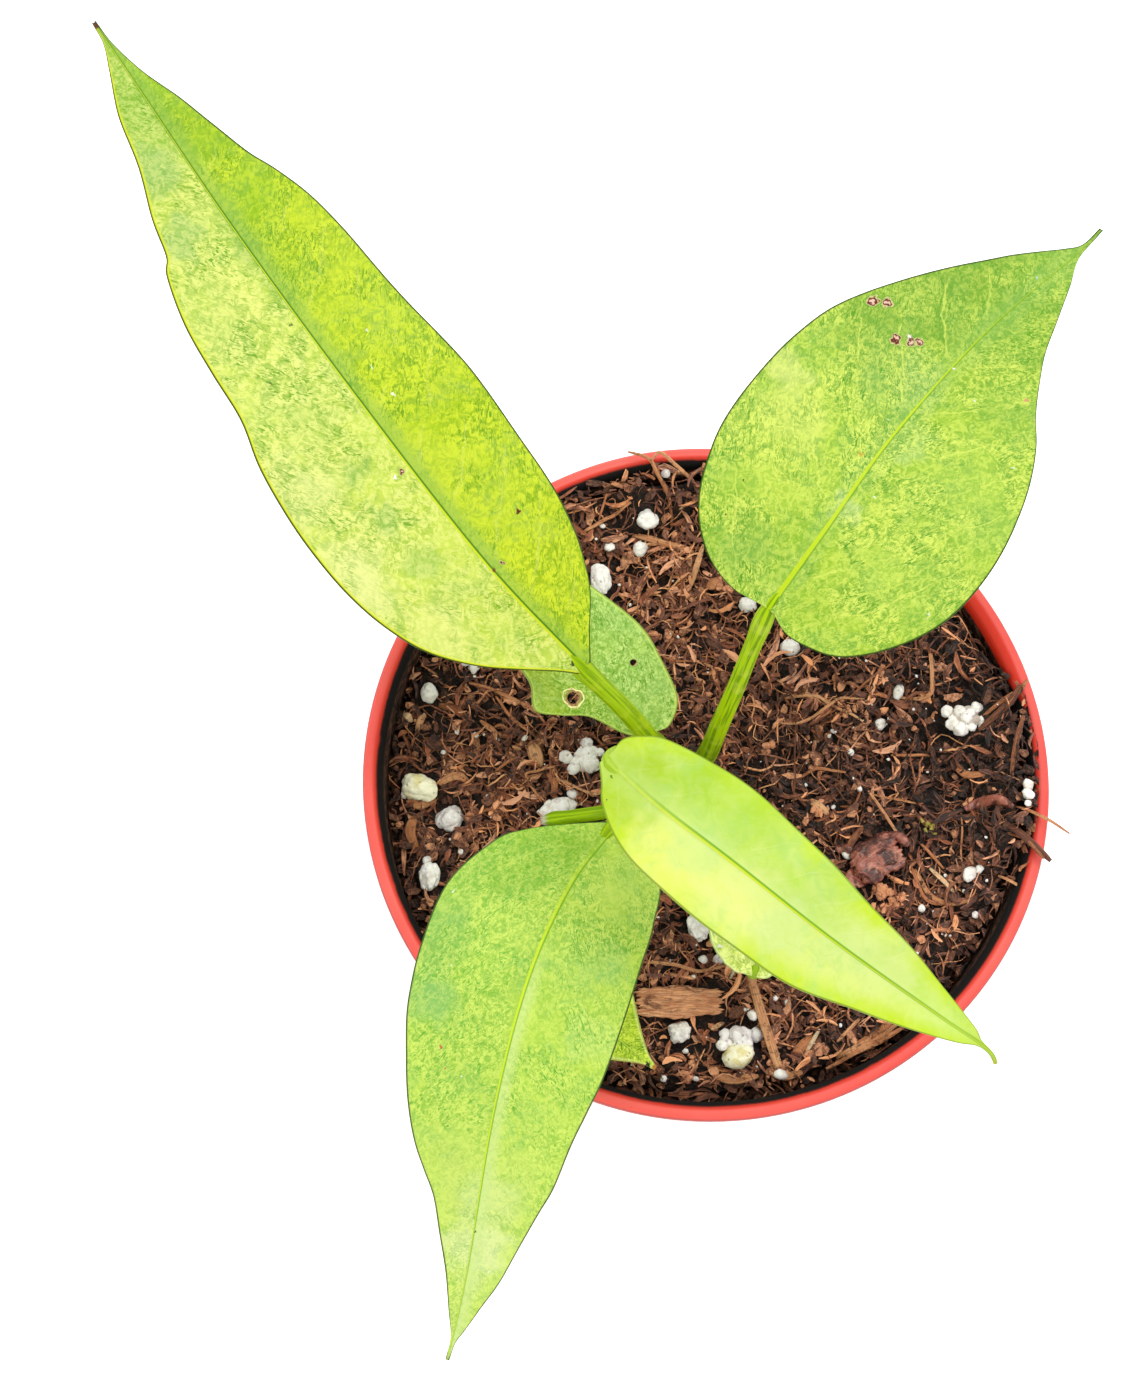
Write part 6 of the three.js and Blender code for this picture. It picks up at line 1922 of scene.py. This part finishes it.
old_pointed = {
    "stalk": [(-5.5, -4.2, 83.4), (-10.6, -8.4, 86.6), (-21, -16, 90), (-28.5, -21.6, 93)],
    "stalk_radius": (1.15, 0.95),
    "midrib": [(-31.5, -24.6, 96), (-22.6, -33.8, 98), (-14.8, -40.6, 95), (-8.2, -45.1, 91)],
    "left": [(0, 0.9), (1.5, 5), (6, 8), (12, 8.8), (17, 8.2), (21.5, 6.6), (26.9, 3.1), (30.6, 1),
        (32.8, 0.35)],
    "right": [(0, 0.9), (1.5, 5), (6, 8), (12, 8.6), (17, 7.6), (21.5, 5.8), (25.9, 3.1), (30.2, 0.9),
        (32.8, 0.35)],
    "fold": 0.3, "curl": 0.01, "wave": (0.15, 12), "lean": 0.8, "bend": 0.03, "vein_gap": 3.2,
    "quilt": 0.08, "rib_lift": -0.06, "seed": 67.0, "channel_up": (-0.4, -0.4, 0.8), "slot": "leaf_old",
}
old_pointed_look = brighter(mature | {
    "left": ink(190, 218, 26), "right": ink(184, 212, 20), "tip": ink(192, 218, 44),
    "lime": ink(200, 226, 40), "grey": ink(146, 190, 40), "deep": ink(92, 140, 0),
    "pale": ink(226, 242, 90),
    "rib_colour": ink(204, 226, 90), "band": ink(232, 240, 150), "band_share": (0.45, 0.45),
    "felt_scale": 1.5,
    "dash": 0.85, "dash_scale": 1.7, "stretch": 0.3, "blotch": 0.3, "net": 0.35, "net_scale": 1.0,
    "net_colour": ink(88, 136, 2), "shadow": 0.4, "line_colour": ink(150, 160, 60), "line": 0.7,
    "marks": [(31.4, -0.3, 0.5, ink(50, 56, 26)), (32.8, 0.0, 0.8, ink(206, 140, 60))],
}, 1.42)
grow_leaf("plant_leaf_old_pointed", old_pointed, old_pointed_look, old_stalk)

# A small leaf stays low under the youngest one, cupped, with dark veins that spread from its base.

low_leaf = {
    "stalk": [(-1.8, -4.6, 83.8), (1.2, -10.5, 86), (4.4, -22, 88), (6.2, -29.5, 90.6)],
    "stalk_radius": (1.1, 0.9),
    "midrib": [(6.2, -31.7, 94), (7.8, -25.5, 98), (10.3, -18.9, 99), (13.3, -13.2, 97)],
    "left": [(0, 0.9), (0.1, 2.8), (2.1, 5.6), (5, 7.8), (9, 8.8), (13.5, 7.4), (17.6, 3.8), (21.4, 0.35)],
    "right": [(0, 0.9), (0.4, 2.2), (1.6, 3.4), (4.4, 6), (9, 7.4), (13.5, 6.4), (17.6, 3.4), (21.4, 0.35)],
    "fold": 0.2, "curl": 0.01, "wave": (0.15, 10), "lean": 0.8, "bend": 0.03, "vein_gap": 2.6,
    "quilt": 0.1, "rib_lift": -0.05, "crumple": 0.22, "seed": 83.0, "channel_up": (0.2, -0.4, 0.8),
    "slot": "leaf_old",
}
low_leaf_look = brighter(mature | {
    "left": ink(216, 230, 96), "right": ink(212, 228, 90), "tip": ink(196, 218, 80),
    "lime": ink(228, 240, 116), "grey": ink(164, 194, 84), "deep": ink(112, 152, 30),
    "pale": ink(244, 248, 176),
    "rib_colour": ink(206, 226, 116), "band": ink(232, 242, 170), "band_share": (0.6, 0.6),
    "felt_scale": 0.6,
    "net": 0.35, "net_scale": 0.5, "net_colour": ink(98, 142, 40), "curl": 0.25, "felt": 0.3,
    "felt_dark": 0.35,
    "dash": 0.4,
    "line_colour": ink(140, 160, 70), "line": 0.6,
    "marks": [
        # The two white marks at 4 and 5.2 mm along are painted glints.
        (2.0, -0.1, 0.5, ink(132, 84, 60)), (4.0, 5.9, 0.3, ink(255, 255, 250)),
        (5.2, 6.8, 0.25, ink(250, 252, 236)),
    ],
}, 1.5)
grow_leaf("plant_leaf_low", low_leaf, low_leaf_look, old_stalk)

# The stalk of a leaf that was cut away lies low to the left. It has a deeper channel than the
# living stalks, and its end has dried to a whitish, tapered tip.

cut_route = [(-6.6, -2.2, 85.3), (-11, -4.4, 88.2), (-15.6, -5.9, 89.6), (-20.1, -6.5, 89.2),
    (-25.3, -7, 88)]


def drying_skin():
    finish = Finish("drying_stalk")
    along, around, _ = finish.split(finish.fact("lay", "Vector"))
    share = finish.fact("share")
    streak = finish.speckle(finish.vector(along * 0.08, around * 2.6, 2.0), 1.0, 3.0, 0.6)
    colour = finish.blend(streak.ramp(0.42, 0.62), ink(140, 184, 0), ink(190, 230, 0))
    dry = (share + (streak - 0.5) * 0.08).ramp(0.93, 0.985)
    colour = finish.blend(dry, colour, ink(234, 222, 196))
    brown = (share + (streak - 0.5) * 0.1).ramp(0.975, 1.0)
    colour = finish.blend(brown * 0.6, colour, ink(150, 110, 76))
    sockets = {"Base Color": colour, "Roughness": 0.4 + 0.3 * dry,
        "Normal": finish.relief(streak, 0.2, 0.7)}
    return finish.dress(sockets | {"Specular IOR Level": 0.12})


def make_cut_stalk():
    body, faces, lay = stalk_body(cut_route, 1.28, 1.05, (0.0, 0.0, 1.0), 0.3, 0.45)
    share = np.repeat(np.linspace(0, 1, 90), 28)
    stub = Shape().add(body, faces, lay=lay, share=share)
    made = stub.piece("plant_cut_stalk", [drying_skin()])
    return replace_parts(made, "cut_stalk")


make_cut_stalk()

# The floor is a plain white sheet under the pot, lit softly from the upper right, with the camera
# over the pot and a little to its front, as the photograph was taken.


def make_floor():
    finish = Finish("white_floor")
    cloud = finish.speckle(finish.place(), 0.01, 2.0)
    colour = finish.blend(cloud, (0.9, 0.9, 0.9), (0.94, 0.94, 0.94))
    reach = 1500.0
    sheet = [(-reach, -reach, -0.2), (reach, -reach, -0.2), (reach, reach, -0.2), (-reach, reach, -0.2)]
    floor = bpy.data.meshes.new("floor")
    floor.from_pydata([tuple(c * MM for c in corner) for corner in sheet], [], [(0, 1, 2, 3)])
    glow = {"Emission Color": (1.0, 1.0, 1.0), "Emission Strength": 0.4}
    floor.materials.append(finish.dress({"Base Color": colour, "Roughness": 0.9} | glow))
    made = bpy.data.objects.new("floor", floor)
    bpy.context.scene.collection.objects.link(made)


make_floor()


def make_lights():
    world = bpy.data.worlds.new("studio")
    world.use_nodes = True
    world.node_tree.nodes["Background"].inputs["Color"].default_value = (1.0, 1.0, 1.0, 1.0)
    world.node_tree.nodes["Background"].inputs["Strength"].default_value = 1.15
    bpy.context.scene.world = world
    lamp = bpy.data.lights.new("key", "SUN")
    lamp.energy = 1.7
    lamp.angle = math.radians(45)
    key = bpy.data.objects.new("key", lamp)
    toward = Vector((-0.12, -0.2, -1.0))
    key.rotation_euler = toward.to_track_quat("-Z", "Y").to_euler()
    bpy.context.scene.collection.objects.link(key)
    bpy.context.scene.view_settings.view_transform = "Standard"


make_lights()

camera_aim = Vector((-21.598, 12.650, 88.0)) * MM
camera_distance = 500.0 * MM
camera_tilt = math.radians(14.4903)
camera_heading = math.radians(263.988)
view_height = math.radians(24.156)


def make_camera():
    lens = bpy.data.cameras.new("camera")
    lens.sensor_fit = "VERTICAL"
    lens.sensor_height = 36.0
    lens.lens = lens.sensor_height / 2 / math.tan(view_height / 2)
    lens.clip_start = 0.01
    camera = bpy.data.objects.new("camera", lens)
    outward = Vector((
        math.sin(camera_tilt) * math.cos(camera_heading),
        math.sin(camera_tilt) * math.sin(camera_heading),
        math.cos(camera_tilt),
    ))
    right = (-outward).cross(Vector((0.0, 1.0, 0.0))).normalized()
    upward = right.cross(-outward)
    turn = Matrix((right, upward, outward)).transposed().to_4x4()
    camera.matrix_world = Matrix.Translation(camera_aim + outward * camera_distance) @ turn
    bpy.context.scene.collection.objects.link(camera)
    bpy.context.scene.camera = camera


make_camera()
